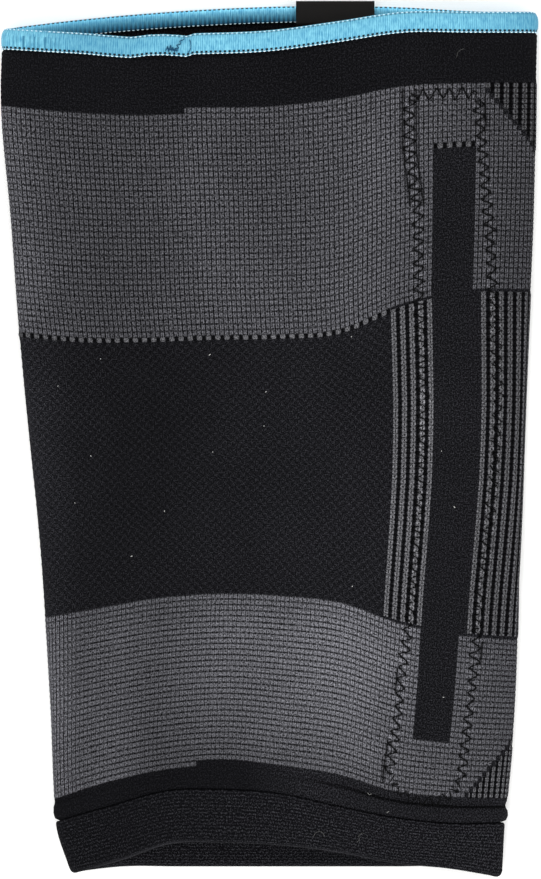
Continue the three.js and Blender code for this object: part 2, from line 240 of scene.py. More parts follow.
def around(place, y):
    """Where a place round the tube, in wales from the left fold, lies in its section.

    The front layer's length is a parabola's and two fold arcs', the back layer's is flat between
    its arcs. Gives x from the middle, z, and the outward direction's x and z."""
    along, half, middle, flat, lean, reach, fold_top, rise = section_at(y)
    place = np.mod(place, ROUND_WALES)
    front = place < LAYER_WALES
    parabola = reach + 2 / 3 * rise ** 2 / reach
    front_half = parabola + FOLD_RADIUS * (np.pi / 2 - lean)
    back_half = flat + FOLD_RADIUS * np.pi / 2
    share = place / LAYER_WALES
    run = np.where(front, (2 * share - 1) * front_half, (3 - 2 * share) * back_half)
    straight = np.where(front, parabola, flat)
    angle = np.where(front, lean, 0) + np.maximum(np.abs(run) - straight, 0) / FOLD_RADIUS
    on_fold = np.abs(run) > straight
    side = np.sign(run)
    up = np.where(front, 1.0, -1.0)
    bend = 2 / 3 * rise ** 2 / reach ** 4
    across = run - bend * run ** 3
    across = across - (across + bend * across ** 3 - run) / (1 + 3 * bend * across ** 2)
    slope = -2 * rise * across / reach ** 2
    steep = np.hypot(slope, 1)
    x = np.where(front, across, run)
    z = np.where(front, fold_top + rise * (1 - (across / reach) ** 2), 0)
    out_x = np.where(front, -slope / steep, 0)
    out_z = np.where(front, 1 / steep, -1)
    x = np.where(on_fold, side * (flat + FOLD_RADIUS * np.sin(angle)), x)
    z = np.where(on_fold, FOLD_RADIUS + up * FOLD_RADIUS * np.cos(angle), z)
    out_x = np.where(on_fold, side * np.sin(angle), out_x)
    out_z = np.where(on_fold, up * np.cos(angle), out_z)
    return x, z, out_x, out_z


def height_of(place, course):
    """Height y of a course at a place round the tube: between the level lines of eight courses."""
    place, course = np.broadcast_arrays(np.asarray(place, float), np.asarray(course, float))
    front = np.mod(place, ROUND_WALES) < LAYER_WALES
    courses = np.array([level[0] for level in LEVELS], float)
    row = np.clip(np.searchsorted(courses, course) - 1, 0, len(LEVELS) - 2)
    part = (course - courses[row]) / (courses[row + 1] - courses[row])
    y = np.zeros(place.shape)
    for _ in range(4):
        half = section_at(y)[1]
        share = np.clip(0.5 + 0.5 * around(place, y)[0] / half, 0, 1)
        lines = np.array([
            np.where(front, smooth_table(LEVEL_SHARES, level[1], share),
                     smooth_table(LEVEL_SHARES, level[2], share))
            for level in LEVELS
        ])
        low = np.take_along_axis(lines, row[None], 0)[0]
        high = np.take_along_axis(lines, row[None] + 1, 0)[0]
        y = (MIDDLE_ROW - (low + part * (high - low))) * PHOTO_MM_PER_PIXEL
    return y


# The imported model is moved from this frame, so that its origin is under the middle of its outline
rim_line = height_of(np.linspace(0, ROUND_WALES, 400), RIM_COURSE)
side_line = np.linspace(-SLEEVE_LENGTH / 2, SLEEVE_LENGTH / 2, 400)
side_sizes = section_at(side_line)
own_middle_x = ((side_sizes[2] - side_sizes[1]).min() + (side_sizes[2] + side_sizes[1]).max()) / 2
MOVE_X = -own_middle_x
MOVE_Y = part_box("top_binding")[1][1] / MM - rim_line.max()


def on_tube(place, y, depth):
    """Points at a depth below the tube's outer face, from a place round it and a height."""
    x, z, out_x, out_z = around(place, y)
    middle = section_at(y)[2]
    return np.stack([x + middle - depth * out_x + MOVE_X, y + MOVE_Y, z - depth * out_z], axis=-1)


def place_of(wale, course):
    """Place round the tube and height of a stitch: its wale less the twist at its height."""
    y = height_of(wale, course)
    for _ in range(3):
        along = np.clip(0.5 - y / SLEEVE_LENGTH, 0, 1)
        place = wale - np.interp(along, TWIST[:, 0], TWIST[:, 1])
        y = height_of(place, course)
    return place, y


def band_quads(rows, columns):
    """Quads of a grid that closes on itself both ways, with their front on the outside."""
    r, c = np.meshgrid(np.arange(rows), np.arange(columns), indexing="ij")
    down = (r + 1) % rows
    right = (c + 1) % columns
    corners = [r * columns + c, down * columns + c, down * columns + right, r * columns + right]
    return np.stack(corners, axis=-1).reshape(-1, 4)


def set_uv(piece, u, v):
    """UV map from the u and v of each quad's four corners."""
    layer = piece.data.uv_layers.new(name="stitches")
    layer.data.foreach_set("uv", np.stack([u, v], axis=-1).astype(np.float32).ravel())


def set_attribute(piece, name, *parts):
    """Face attribute of four numbers, kept as a colour with its alpha."""
    values = np.stack(parts, axis=-1).astype(np.float32)
    piece.data.attributes.new(name, "FLOAT_COLOR", "FACE").data.foreach_set("color", values.ravel())


# Chart of the knit. Courses count from the binding. The knee's middle, the side of the seam and the
# jogs are wales from the left fold, and the widths and corners are wales from the knee's middle.
KNEE_MIDDLE = 41.0
SEAM_SIDE = 157.0
JOG_WALE = 40.3
BACK_JOG_WALE = -58.0
GREY_TOP, KNEE_TOP, KNEE_BOTTOM, GREY_BOTTOM, HEM_SEAM = 9, 48, 110, 140, 145
KNEE_WALES = 42
STRIPE_WALES = (51, 60)
WIDE_STRIPE_WALES = (51, 62)
STRIPE_TOP = GREY_TOP + 11
STRIPE_BOTTOM = GREY_BOTTOM - 10
UPPER_CORNER_WALE = 62
LOWER_CORNER_WALE = 64


def knit_chart(wale, course):
    """Which yarn and stitch a point of the knit has: grey plain, rib and bird's-eye, each 0 or 1."""
    wale = np.where(wale > SEAM_SIDE, wale - ROUND_WALES, wale)
    from_middle = np.floor(np.abs(wale - KNEE_MIDDLE))
    row = np.floor(course)
    jog = ((wale < JOG_WALE) & (wale > BACK_JOG_WALE)).astype(int)
    knee_side = from_middle < KNEE_WALES
    upper = (row >= GREY_TOP + jog) & (row < KNEE_TOP)
    lower = (row >= KNEE_BOTTOM) & (row < GREY_BOTTOM + jog)
    stripe = (from_middle >= STRIPE_WALES[0]) & (from_middle < STRIPE_WALES[1])
    wide_stripe = (from_middle >= WIDE_STRIPE_WALES[0]) & (from_middle < WIDE_STRIPE_WALES[1])
    stripe_here = stripe & (row >= STRIPE_TOP) & (row < STRIPE_BOTTOM)
    teeth = (stripe & (row == STRIPE_TOP)) | (knee_side & (row == KNEE_TOP))
    past_upper = upper & (from_middle >= UPPER_CORNER_WALE)
    top_step = from_middle - (UPPER_CORNER_WALE - 1) - (row - GREY_TOP)
    bottom_step = from_middle - LOWER_CORNER_WALE - (GREY_BOTTOM - row)
    corner = (past_upper & (top_step >= 0)) | (lower & (bottom_step >= 0))
    corner_rib = (past_upper & (top_step > 0)) | (lower & (bottom_step > 0))
    knee_band = (row >= KNEE_TOP) & (row < KNEE_BOTTOM)
    side_rib = knee_band & ~knee_side & ~wide_stripe & (course > KNEE_TOP + 0.5)
    side_rib &= course < KNEE_BOTTOM - 0.5
    grey = (upper | lower) & ~stripe_here & ~corner
    birdseye = knee_band & knee_side & ~teeth
    rib = side_rib | corner_rib | teeth
    return grey.astype(float), rib.astype(float), birdseye.astype(float)


FINE_RIB_GAIN = 0.37
FINE_RIB_TOP = KNEE_BOTTOM + 20


def rib_wale(wale, course):
    """Wale count that ribs follow: in the calf end's corners the ribs are finer by a fixed gain."""
    folded = np.where(wale > SEAM_SIDE, wale - ROUND_WALES, wale)
    past_corner = np.maximum(np.abs(folded - KNEE_MIDDLE) - LOWER_CORNER_WALE, 0)
    past_corner = past_corner * (course > FINE_RIB_TOP)
    return wale + FINE_RIB_GAIN * np.sign(folded - KNEE_MIDDLE) * past_corner


# The grid is fine on the front layer and a little past both folds, and coarse on the back layer
PAST_FOLD = 6
FINE_STEP = 0.5
COARSE_STEP = 2.0
FIRST_COURSE = -1
LAST_COURSE = HEM_SEAM + 1
INNER_ROWS = 25
fine_wales = np.arange(-PAST_FOLD, LAYER_WALES + PAST_FOLD, FINE_STEP)
coarse_wales = np.arange(LAYER_WALES + PAST_FOLD, ROUND_WALES - PAST_FOLD, COARSE_STEP)
knit_wales = np.concatenate([fine_wales, coarse_wales])
knit_steps = np.repeat([FINE_STEP, COARSE_STEP], [len(fine_wales), len(coarse_wales)])
outer_courses = np.arange(FIRST_COURSE, LAST_COURSE + 0.01, FINE_STEP)
inner_courses = np.linspace(LAST_COURSE, FIRST_COURSE, INNER_ROWS)

# Zigzag seam of the stay channel: its middle line as course and wale, down the left and the right
# side and across the top and the bottom
SEAM_ROWS = {
    "left": [
        (11.6, 87.0), (20.7, 87.0), (31.8, 88.7), (44.7, 89.1), (67, 89.7),
        (86, 89.7), (105, 89.4), (118.6, 88.1), (128.0, 87.8), (137.0, 86.9),
    ],
    "right": [
        (12.4, 101.6), (16.9, 102), (21.6, 102.5), (29.2, 103.4), (36.7, 104.4),
        (48, 105.6), (67.7, 106.9), (103.4, 105.6), (112.3, 105.4), (132.9, 104.9), (137.4, 104.5),
    ],
    "top": [(11.6, 87.0), (10.9, 88.5), (10.9, 92), (10.9, 96), (10.9, 100), (12.4, 101.6)],
    "bottom": [
        (137.0, 86.9), (139.4, 89.0), (141.0, 93), (141.2, 96), (141.0, 99), (139.6, 102.6),
        (137.4, 104.5),
    ],
}
# Straight legs of the stitch beside the zigzag: seam, offset, first course and last course
GROOVES = [
    ("left", -2.1, 9.4, 31.0), ("left", 2.1, 9.6, 31.0), ("right", 1.9, 11.5, 17.5),
    ("left", -2.2, 131.0, 139.0), ("left", -1.9, 118.0, 122.5), ("right", 2.0, 110.8, 114.4),
]
SEAM_HALF_WIDTH = 1.9
SEAM_PERIOD = 4.2
WALE_MM = 1.52
COURSE_MM = 1.84
rng = np.random.default_rng(7)


def seam_line(rows):
    """Even steps along a seam's middle line in millimetres, and its course and wale there."""
    rows = np.array(rows, float)
    share = np.linspace(0, 1, 1200)
    spaced = np.linspace(0, 1, len(rows))
    course = np.interp(share, spaced, rows[:, 0])
    wale = np.interp(share, spaced, rows[:, 1])
    line = on_tube(*place_of(wale, course), 0.0)
    length = np.concatenate([[0], np.cumsum(np.linalg.norm(np.diff(line, axis=0), axis=1))])
    even = np.linspace(0, length[-1], int(length[-1] / 0.3))
    return even, np.interp(even, length, course), np.interp(even, length, wale)


def thread_wave(length, sway):
    """Offset of the zigzag from its middle line: a triangle wave with uneven width and steps."""
    steps = np.linspace(0, 260, len(sway))
    uneven = np.interp(length, steps, sway)
    phase = 2 * np.pi * (length / SEAM_PERIOD + 0.07 * uneven)
    width = SEAM_HALF_WIDTH * (1 + 0.16 * np.interp(length, steps, sway[::-1]))
    straight = np.arcsin(0.97 * np.sin(phase))
    return width * (0.22 * np.tanh(1.25 * straight) + 0.54 * straight), phase


seams = {name: (*seam_line(rows), rng.normal(0, 1, 80)) for name, rows in SEAM_ROWS.items()}


def seam_pull(wale, course):
    """How near a stitch is to the seam's thread, and how much it puffs between two legs, 0 to 1."""
    folded = np.where(wale > SEAM_SIDE, wale - ROUND_WALES, wale)
    folded = KNEE_MIDDLE + np.abs(folded - KNEE_MIDDLE)
    pull = np.zeros(np.shape(folded))
    puff = np.zeros(np.shape(folded))
    for name, (length, seam_course, seam_wale, sway) in seams.items():
        if name in ("left", "right"):
            along, line_along = course, seam_course
            offset = (folded - np.interp(course, seam_course, seam_wale)) * WALE_MM
        else:
            along, line_along = folded, seam_wale
            offset = (np.interp(folded, seam_wale, seam_course) - course) * COURSE_MM
        here = np.interp(along, line_along, length)
        inside = (along > line_along[0] - 0.5) & (along < line_along[-1] + 0.5) & (course < GREY_BOTTOM)
        gap = np.abs(offset - thread_wave(here, sway)[0]) * 0.48
        near = inside * np.exp(-(gap / 0.36) ** 2) * (np.abs(offset) < SEAM_HALF_WIDTH + 0.7)
        for groove_seam, groove_offset, first, last in GROOVES:
            if groove_seam == name:
                beside = np.exp(-((offset - groove_offset) / 0.4) ** 2)
                near = np.maximum(near, beside * (course > first) * (course < last))
        pull = np.maximum(pull, near)
        puff = np.maximum(puff, inside * np.exp(-(offset / (SEAM_HALF_WIDTH + 0.2)) ** 4))
    return pull, puff * (1 - pull)


def ripple(wale, course):
    """Slack of the cloth as it lies: three long waves, in millimetres outwards."""
    turn = wale * 2 * np.pi / ROUND_WALES
    return (
        0.22 * np.sin(3 * turn + course * 0.045)
        + 0.14 * np.sin(7 * turn - course * 0.07 + 1.3)
        + 0.08 * np.sin(11 * turn + course * 0.12 + 0.4)
    )


def rests_below(place):
    """1 on the back layer, which rests on the table, fading to 0 round both folds."""
    past_fold = np.minimum(place - LAYER_WALES, ROUND_WALES - place)
    share = np.clip(np.where(place < 0, -place, past_fold) / 5, 0, 1)
    return share * share * (3 - 2 * share)


# Heights of a plain stitch, a rib, a bird's-eye tuck and a puff, and how deep the thread pulls
PLAIN_RISE = 0.13
RIB_BASE = 0.05
RIB_RISE = 0.30
BIRDSEYE_RISE = 0.10
PUFF_RISE = 0.34
PULL_SINK = 0.42
MOST_RISE = 1.3


def knit_relief(wale, course):
    """Height of the stitches above the tube's face, in millimetres.

    A plain stitch is a small dome, a rib is a wave of two wales with its crest on the grey one, and
    bird's-eye is a chequer of tucks. The puffs and pulls beside the seam's thread come on top."""
    grey, rib, birdseye = knit_chart(wale, course)
    near = knit_chart(wale - 0.25, course - 0.25)
    shift = np.where(wale > SEAM_SIDE, 1, 0)
    u = wale + shift
    plain = PLAIN_RISE * np.sin(np.pi * u) ** 2 * np.sin(np.pi * course) ** 2
    crest = RIB_BASE + RIB_RISE * np.cos(np.pi * (rib_wale(wale, course) + shift - 1.5))
    chequer = BIRDSEYE_RISE * np.cos(np.pi * (u - 0.5)) * np.cos(np.pi * (course - 0.5))
    rib_share = 0.5 * (rib + near[1])
    bird_share = 0.5 * (birdseye + near[2])
    height = plain * (1 - rib_share - bird_share) + crest * rib_share + chequer * bird_share
    pull, puff = seam_pull(wale, course)
    height += PUFF_RISE * puff - PULL_SINK * pull
    return height


# How far the spare cloth above the hem is rolled, at shares of the width from the left fold
TUCK = np.array([
    (0.0, 0.6), (0.167, 0.0), (0.333, 0.0), (0.5, 0.0), (0.667, 0.8), (0.833, 1.0), (1.0, 1.0),
])
# The roll's section: courses above the hem's seam, and shares of its height there
ROLL_COURSES = (0.0, 0.4, 1.2, 2.2, 3.0, 3.4, 4.2)
ROLL_SHARES = (-0.6, 0.4, 1.0, 0.9, 0.1, -0.45, 0.0)
ROLL_HEIGHT = 0.9


def cloth_depth(wale, course, place):
    """Depth of the cloth without its stitches: into the binding and the hem at its ends, slack
    between them, and the roll of spare cloth just above the hem."""
    layer_share = np.clip(place / LAYER_WALES, 0, 1)
    on_front = (place > -PAST_FOLD) & (place < LAYER_WALES + PAST_FOLD)
    tuck_share = smooth_table(TUCK[:, 0], TUCK[:, 1], layer_share).clip(0, 1) * on_front
    from_seam = HEM_SEAM - course
    roll = ROLL_HEIGHT * np.interp(from_seam, ROLL_COURSES, ROLL_SHARES)
    into_binding = (BINDING_WALL + CLEARANCE) * np.clip(0.5 - course, 0, 1)
    into_hem = (HEM_WALL + CLEARANCE) * np.clip(1 - from_seam / 0.7, 0, 1) ** 2
    swell = np.clip(course / 6, 0, 1) * np.clip(from_seam / 6, 0, 1)
    drawn_in = 0.75 * rests_below(np.mod(place, ROUND_WALES))
    slack = ripple(wale, course) * swell * (1 - 0.6 * drawn_in)
    return into_binding + into_hem + drawn_in * swell - slack - roll * tuck_share


wale_grid, course_grid = np.meshgrid(knit_wales, outer_courses)
place_grid, y_grid = place_of(wale_grid, course_grid)
outer_depth = cloth_depth(wale_grid, course_grid, place_grid) - knit_relief(wale_grid, course_grid)
least_depth = -MOST_RISE * (1 - rests_below(np.mod(place_grid, ROUND_WALES)))
outer_points = on_tube(place_grid, y_grid, np.maximum(outer_depth, least_depth))

inner_wales, inner_rows = np.meshgrid(knit_wales, inner_courses, indexing="xy")
inner_place, inner_y = place_of(inner_wales, inner_rows)
end_depth = np.where((inner_rows < 0.5) | (inner_rows > HEM_SEAM - 0.5), 0.15, 0.0)
inner_points = on_tube(inner_place, inner_y, KNIT_WALL + end_depth)

knit_points = np.concatenate([outer_points, inner_points]).reshape(-1, 3)
knit_rows = len(outer_courses) + len(inner_courses)
knit_quads = band_quads(knit_rows, len(knit_wales))

# Knitted nylon and elastane, matt: loops in rows and columns with dark gaps between them, bright
# where the fibres catch the light, and cloudy from loop to loop.
BLACK_YARN = "#08080A"
BLACK_YARN_LIT = "#313135"
GREY_YARN = "#4B4B4F"
GREY_RIB_YARN = "#5B5B5E"
LOOP_SHADOW = "#060607"
knit = new_material("grey_and_black_nylon_knit")
stitch_uv = add_node(knit, "UVMap", uv_map="stitches")
stitch = add_node(knit, "SeparateXYZ", {0: stitch_uv.outputs[0]})
yarn = add_node(knit, "Attribute", attribute_name="yarn")
yarn_parts = add_node(knit, "SeparateColor", {0: yarn.outputs["Color"]})
lines = add_node(knit, "Attribute", attribute_name="lines")
line_parts = add_node(knit, "SeparateColor", {0: lines.outputs["Color"]})
is_grey, is_rib, is_birdseye = yarn_parts.outputs[0], yarn_parts.outputs[1], yarn_parts.outputs[2]

# Gap between wales and gap between courses: dark lines where the loops meet, partly the black yarn that
# shows between them and partly painted shade in the gaps
wale_part = add_node(knit, "Math", {0: stitch.outputs[0]}, operation="FRACT")
wale_off = add_node(knit, "Math", {0: wale_part.outputs[0], 1: 0.5}, operation="SUBTRACT")
wale_far = add_node(knit, "Math", {0: wale_off.outputs[0]}, operation="ABSOLUTE")
course_part = add_node(knit, "Math", {0: stitch.outputs[1]}, operation="FRACT")
course_off = add_node(knit, "Math", {0: course_part.outputs[0], 1: 0.5}, operation="SUBTRACT")
course_far = add_node(knit, "Math", {0: course_off.outputs[0]}, operation="ABSOLUTE")
wale_gap = add_node(
    knit, "MapRange", {0: wale_far.outputs[0], 1: 0.29, 2: 0.42}, interpolation_type="SMOOTHSTEP"
)
course_gap = add_node(
    knit, "MapRange", {0: course_far.outputs[0], 1: 0.27, 2: 0.40}, interpolation_type="SMOOTHSTEP"
)
wale_line = add_node(
    knit, "Math", {0: wale_gap.outputs[0], 1: line_parts.outputs[0]}, operation="MULTIPLY"
)
leg_foot = add_node(knit, "Math", {0: stitch.outputs[0], 1: 0.25}, operation="PINGPONG")
foot_dot = add_node(knit, "MapRange", {0: leg_foot.outputs[0], 1: 0.16, 2: 0.05, 3: 0.72, 4: 1.0})
dotted_gap = add_node(
    knit, "Math", {0: course_gap.outputs[0], 1: foot_dot.outputs[0]}, operation="MULTIPLY"
)
course_line = add_node(
    knit, "Math", {0: dotted_gap.outputs[0], 1: line_parts.outputs[1]}, operation="MULTIPLY"
)
plain_gap = add_node(
    knit, "Math", {0: wale_line.outputs[0], 1: course_line.outputs[0]}, operation="MAXIMUM"
)

leg_gap = add_node(
    knit, "MapRange", {0: wale_far.outputs[0], 1: 0.13, 2: 0.02, 3: 0.0, 4: 0.5}
)
leg_line = add_node(
    knit, "Math", {0: leg_gap.outputs[0], 1: line_parts.outputs[0]}, operation="MULTIPLY"
)
loop_lines = add_node(
    knit, "Math", {0: plain_gap.outputs[0], 1: leg_line.outputs[0]}, operation="MAXIMUM"
)
gap_map = add_node(knit, "Mapping", {"Vector": stitch_uv.outputs[0], "Scale": (1.9, 1.9, 1.0)})
gap_noise = add_node(knit, "TexNoise", {"Vector": gap_map.outputs[0], "Scale": 1.0, "Detail": 1.0})
gap_break = add_node(knit, "MapRange", {0: gap_noise.outputs[0], 1: 0.36, 2: 0.6, 3: 0.68, 4: 1.2})
stitch_gap = add_node(
    knit, "Math", {0: loop_lines.outputs[0], 1: gap_break.outputs[0]},
    operation="MULTIPLY", use_clamp=True,
)

# Grey rib wale: it spreads over the black wales beside it, to a little over half of two wales' width
rib_part = add_node(knit, "Math", {0: stitch.outputs[0], 1: 0.5}, operation="MULTIPLY")
rib_turn = add_node(knit, "Math", {0: rib_part.outputs[0]}, operation="FRACT")
rib_off = add_node(knit, "Math", {0: rib_turn.outputs[0], 1: 0.75}, operation="SUBTRACT")
rib_wrap = add_node(knit, "Math", {0: rib_off.outputs[0], 1: 0.5}, operation="PINGPONG")
rib_waist = add_node(knit, "Math", {0: course_far.outputs[0], 1: 2.0}, operation="POWER")
rib_reach = add_node(
    knit, "Math", {0: rib_waist.outputs[0], 1: 0.28, 2: rib_wrap.outputs[0]}, operation="MULTIPLY_ADD"
)
rib_face = add_node(
    knit, "MapRange", {0: rib_reach.outputs[0], 1: 0.315, 2: 0.24, 3: 0.0, 4: 1.0},
    interpolation_type="SMOOTHSTEP",
)
rib_grey = add_node(knit, "Math", {0: rib_face.outputs[0], 1: is_rib}, operation="MULTIPLY")
grey_share = add_node(knit, "Math", {0: rib_grey.outputs[0], 1: is_grey}, operation="MAXIMUM")

# Fibre flecks about a quarter of a loop across, and clouds 30 mm across
fleck_place = add_node(
    knit, "Mapping", {"Vector": stitch_uv.outputs[0], "Scale": (3.6, 3.6, 1.0)}
)
fleck = add_node(
    knit, "TexNoise", {"Vector": fleck_place.outputs[0], "Scale": 1.0, "Detail": 2.0, "Roughness": 0.7}
)
grey_fleck = add_node(
    knit, "MapRange", {0: fleck.outputs[0], 1: 0.36, 2: 0.64, 3: 0.0, 4: 2.3}
)
fleck_light = add_node(
    knit, "Mix", {0: grey_share.outputs[0], 2: 1.0, 3: grey_fleck.outputs[0]}, data_type="FLOAT"
)
position = add_node(knit, "TexCoord")
cloud = add_node(
    knit, "TexNoise", {"Vector": position.outputs["Object"], "Scale": 33.0, "Detail": 2.0}
)
cloud_light = add_node(knit, "MapRange", {0: cloud.outputs[0], 1: 0.3, 2: 0.7, 3: 0.88, 4: 1.12})
cloth_light = add_node(
    knit, "Math", {0: fleck_light.outputs[0], 1: cloud_light.outputs[0]}, operation="MULTIPLY"
)
# Painted shade beside the zigzag thread and painted highlight on its puffs, from the seam attribute
seam_light_and_shade = add_node(knit, "Attribute", attribute_name="seam")
thread_parts = add_node(knit, "SeparateColor", {0: seam_light_and_shade.outputs["Color"]})
puff_light = add_node(
    knit, "Math", {0: thread_parts.outputs[1], 1: 0.45, 2: 1.0}, operation="MULTIPLY_ADD"
)
pull_light = add_node(
    knit, "Math", {0: thread_parts.outputs[0], 1: -0.7, 2: puff_light.outputs[0]},
    operation="MULTIPLY_ADD",
)
seam_light = add_node(
    knit, "Math", {0: cloth_light.outputs[0], 1: pull_light.outputs[0]}, operation="MULTIPLY"
)
# Painted light and shade across the cloth, from the third part of the lines attribute
toned_light = add_node(
    knit, "Math", {0: seam_light.outputs[0], 1: line_parts.outputs[2]}, operation="MULTIPLY"
)
grey_colour = add_node(
    knit, "Mix", {0: is_rib, 6: linear_colour(GREY_YARN), 7: linear_colour(GREY_RIB_YARN)},
    data_type="RGBA",
)
black_fleck = add_node(knit, "MapRange", {0: fleck.outputs[0], 1: 0.47, 2: 0.67})

# Bird's-eye: every other tuck of the black knee panel is lit, as a chequer of stitches
chequer_waves = []
for stitch_count in stitch.outputs[:2]:
    chequer_turn = add_node(
        knit, "Math", {0: stitch_count, 1: np.pi, 2: -np.pi / 2}, operation="MULTIPLY_ADD"
    )
    chequer_waves.append(add_node(knit, "Math", {0: chequer_turn.outputs[0]}, operation="COSINE"))
chequer = add_node(
    knit, "Math", {0: chequer_waves[0].outputs[0], 1: chequer_waves[1].outputs[0]}, operation="MULTIPLY"
)
chequer_lit = add_node(knit, "MapRange", {0: chequer.outputs[0], 1: -1.0, 2: 1.0, 3: 0.4, 4: 1.6})
chequer_here = add_node(
    knit, "Mix", {0: is_birdseye, 2: 1.0, 3: chequer_lit.outputs[0]}, data_type="FLOAT"
)
black_lit = add_node(
    knit, "Math", {0: black_fleck.outputs[0], 1: chequer_here.outputs[0]}, operation="MULTIPLY"
)
black_shown = add_node(
    knit, "Math", {0: black_lit.outputs[0], 1: yarn.outputs["Alpha"]},
    operation="MULTIPLY", use_clamp=True,
)
black_colour = add_node(
    knit, "Mix",
    {0: black_shown.outputs[0], 6: linear_colour(BLACK_YARN), 7: linear_colour(BLACK_YARN_LIT)},
    data_type="RGBA",
)
# Painted shade on the black wales sunk between the grey ribs
shade_between_ribs = add_node(knit, "MapRange", {0: rib_wrap.outputs[0], 1: 0.3, 2: 0.4, 3: 1.0, 4: 0.42})
rib_shade = add_node(
    knit, "Mix", {0: is_rib, 2: 1.0, 3: shade_between_ribs.outputs[0]}, data_type="FLOAT"
)
yarn_colour = add_node(
    knit, "Mix", {0: grey_share.outputs[0], 6: black_colour.outputs[2], 7: grey_colour.outputs[2]},
    data_type="RGBA",
)
gap_colour = add_node(
    knit, "Mix", {0: stitch_gap.outputs[0], 6: yarn_colour.outputs[2], 7: linear_colour(LOOP_SHADOW)},
    data_type="RGBA",
)

# Dark dot at the foot of each loop of a rib: painted shade in the hole between its legs
dot_across = add_node(knit, "MapRange", {0: rib_wrap.outputs[0], 1: 0.11, 2: 0.03})
dot_down = add_node(knit, "MapRange", {0: course_far.outputs[0], 1: 0.32, 2: 0.18})
dot = add_node(knit, "Math", {0: dot_across.outputs[0], 1: dot_down.outputs[0]}, operation="MULTIPLY")
rib_dot = add_node(knit, "Math", {0: dot.outputs[0], 1: lines.outputs["Alpha"]}, operation="MULTIPLY")
dot_shade = add_node(knit, "Math", {0: rib_dot.outputs[0], 1: -0.95, 2: 1.0}, operation="MULTIPLY_ADD")
rib_tone = add_node(
    knit, "Math", {0: rib_shade.outputs[0], 1: dot_shade.outputs[0]}, operation="MULTIPLY"
)
light = add_node(
    knit, "Math", {0: toned_light.outputs[0], 1: rib_tone.outputs[0]}, operation="MULTIPLY"
)
fleck_colour = add_node(
    knit, "VectorMath", {0: gap_colour.outputs[2], "Scale": light.outputs[0]}, operation="SCALE"
)

# Relief of the loops, finer than the mesh: two legs of each loop lean towards its foot
leg_lean = add_node(knit, "Math", {0: course_part.outputs[0], 1: 0.35}, operation="MULTIPLY")
leg_place = add_node(
    knit, "Math", {0: wale_far.outputs[0], 1: leg_lean.outputs[0]}, operation="SUBTRACT"
)
leg_wave = add_node(knit, "Math", {0: leg_place.outputs[0], 1: 12.6}, operation="MULTIPLY")
leg_round = add_node(knit, "Math", {0: leg_wave.outputs[0]}, operation="SINE")
loop_gap = add_node(
    knit, "Math", {0: wale_gap.outputs[0], 1: course_gap.outputs[0]}, operation="MAXIMUM"
)
loop_height = add_node(
    knit, "Math", {0: leg_round.outputs[0], 1: 0.3, 2: fleck.outputs[0]}, operation="MULTIPLY_ADD"
)
relief = add_node(
    knit, "Math", {0: loop_height.outputs[0], 1: loop_gap.outputs[0]}, operation="SUBTRACT"
)
loop_bump = add_node(
    knit, "Bump", {"Strength": 0.7, "Distance": 0.00022, "Height": relief.outputs[0]}
)
knit_shader = add_node(
    knit,
    "BsdfPrincipled",
    {
        "Base Color": fleck_colour.outputs[0],
        "Roughness": 0.85,
        "Specular IOR Level": 0.02,
        "Normal": loop_bump.outputs[0],
    },
)
add_node(knit, "OutputMaterial", {"Surface": knit_shader.outputs[0]})

tube = new_piece("knitted_tube", knit_points, knit_quads, knit)
row_courses = np.concatenate([outer_courses, inner_courses])
next_courses = np.concatenate([row_courses[1:], row_courses[:1]])
left_wale = np.broadcast_to(knit_wales, (knit_rows, len(knit_wales)))
right_wale = left_wale + knit_steps
top_course = np.broadcast_to(row_courses[:, None], left_wale.shape)
low_course = np.broadcast_to(next_courses[:, None], left_wale.shape)
centre_wale = (left_wale + right_wale) / 2
centre_course = (top_course + low_course) / 2
parity = (centre_wale > SEAM_SIDE).astype(float)
is_outer = (np.arange(knit_rows) < len(outer_courses) - 1)[:, None]
grey_face, rib_face_share, bird_face = knit_chart(centre_wale, centre_course)
left_count = np.where(rib_face_share > 0, rib_wale(left_wale, centre_course), left_wale) + parity
right_count = np.where(rib_face_share > 0, rib_wale(right_wale, centre_course), right_wale) + parity
set_uv(
    tube,
    np.stack([left_count, left_count, right_count, right_count], axis=-1),
    np.stack([top_course, low_course, low_course, top_course], axis=-1),
)

# How much the black yarn's lit fibres show: half above the grey, and more to the right below it
lit_below = np.interp(centre_wale, (52, 66), (0.4, 1.2))
lit_fibres = np.where(centre_course > GREY_BOTTOM, lit_below, 1.0)
lit_fibres = np.where(centre_course < GREY_TOP + 1, 0.5, lit_fibres)
set_attribute(
    tube, "yarn",
    (grey_face * is_outer).ravel(), (rib_face_share * is_outer).ravel(),
    (bird_face * is_outer).ravel(), lit_fibres.ravel(),
)

# Strength of the dark lines between wales and between courses, by field and by place
CHANNEL_MIDDLE = 96
by_channel = np.interp(np.abs(centre_wale - CHANNEL_MIDDLE), (12, 24), (1.0, 0.0))
in_lower = np.interp(centre_course, (104, 116), (0.0, 1.0))
is_black = 1 - np.maximum(grey_face, rib_face_share)
by_fold = np.interp(centre_wale, (8, 13), (1.0, 0.0)) * in_lower
upright = 0.95 - 0.5 * in_lower + (0.05 + 0.2 * in_lower) * by_channel + 0.6 * by_fold
upright = upright * (1 - 0.7 * is_black) * (1 - rib_face_share)
level = (0.88 + 0.12 * in_lower - 0.03 * by_channel - 0.35 * by_fold) * (1 - 0.7 * is_black)
corner_ribs = (centre_course < KNEE_TOP) | (centre_course > KNEE_BOTTOM)
in_teeth = np.isin(np.floor(centre_course), (STRIPE_TOP, KNEE_TOP))
level = np.where(rib_face_share > 0, (0.62 + 0.28 * corner_ribs) * ~in_teeth, level)
has_lines = 1 - bird_face
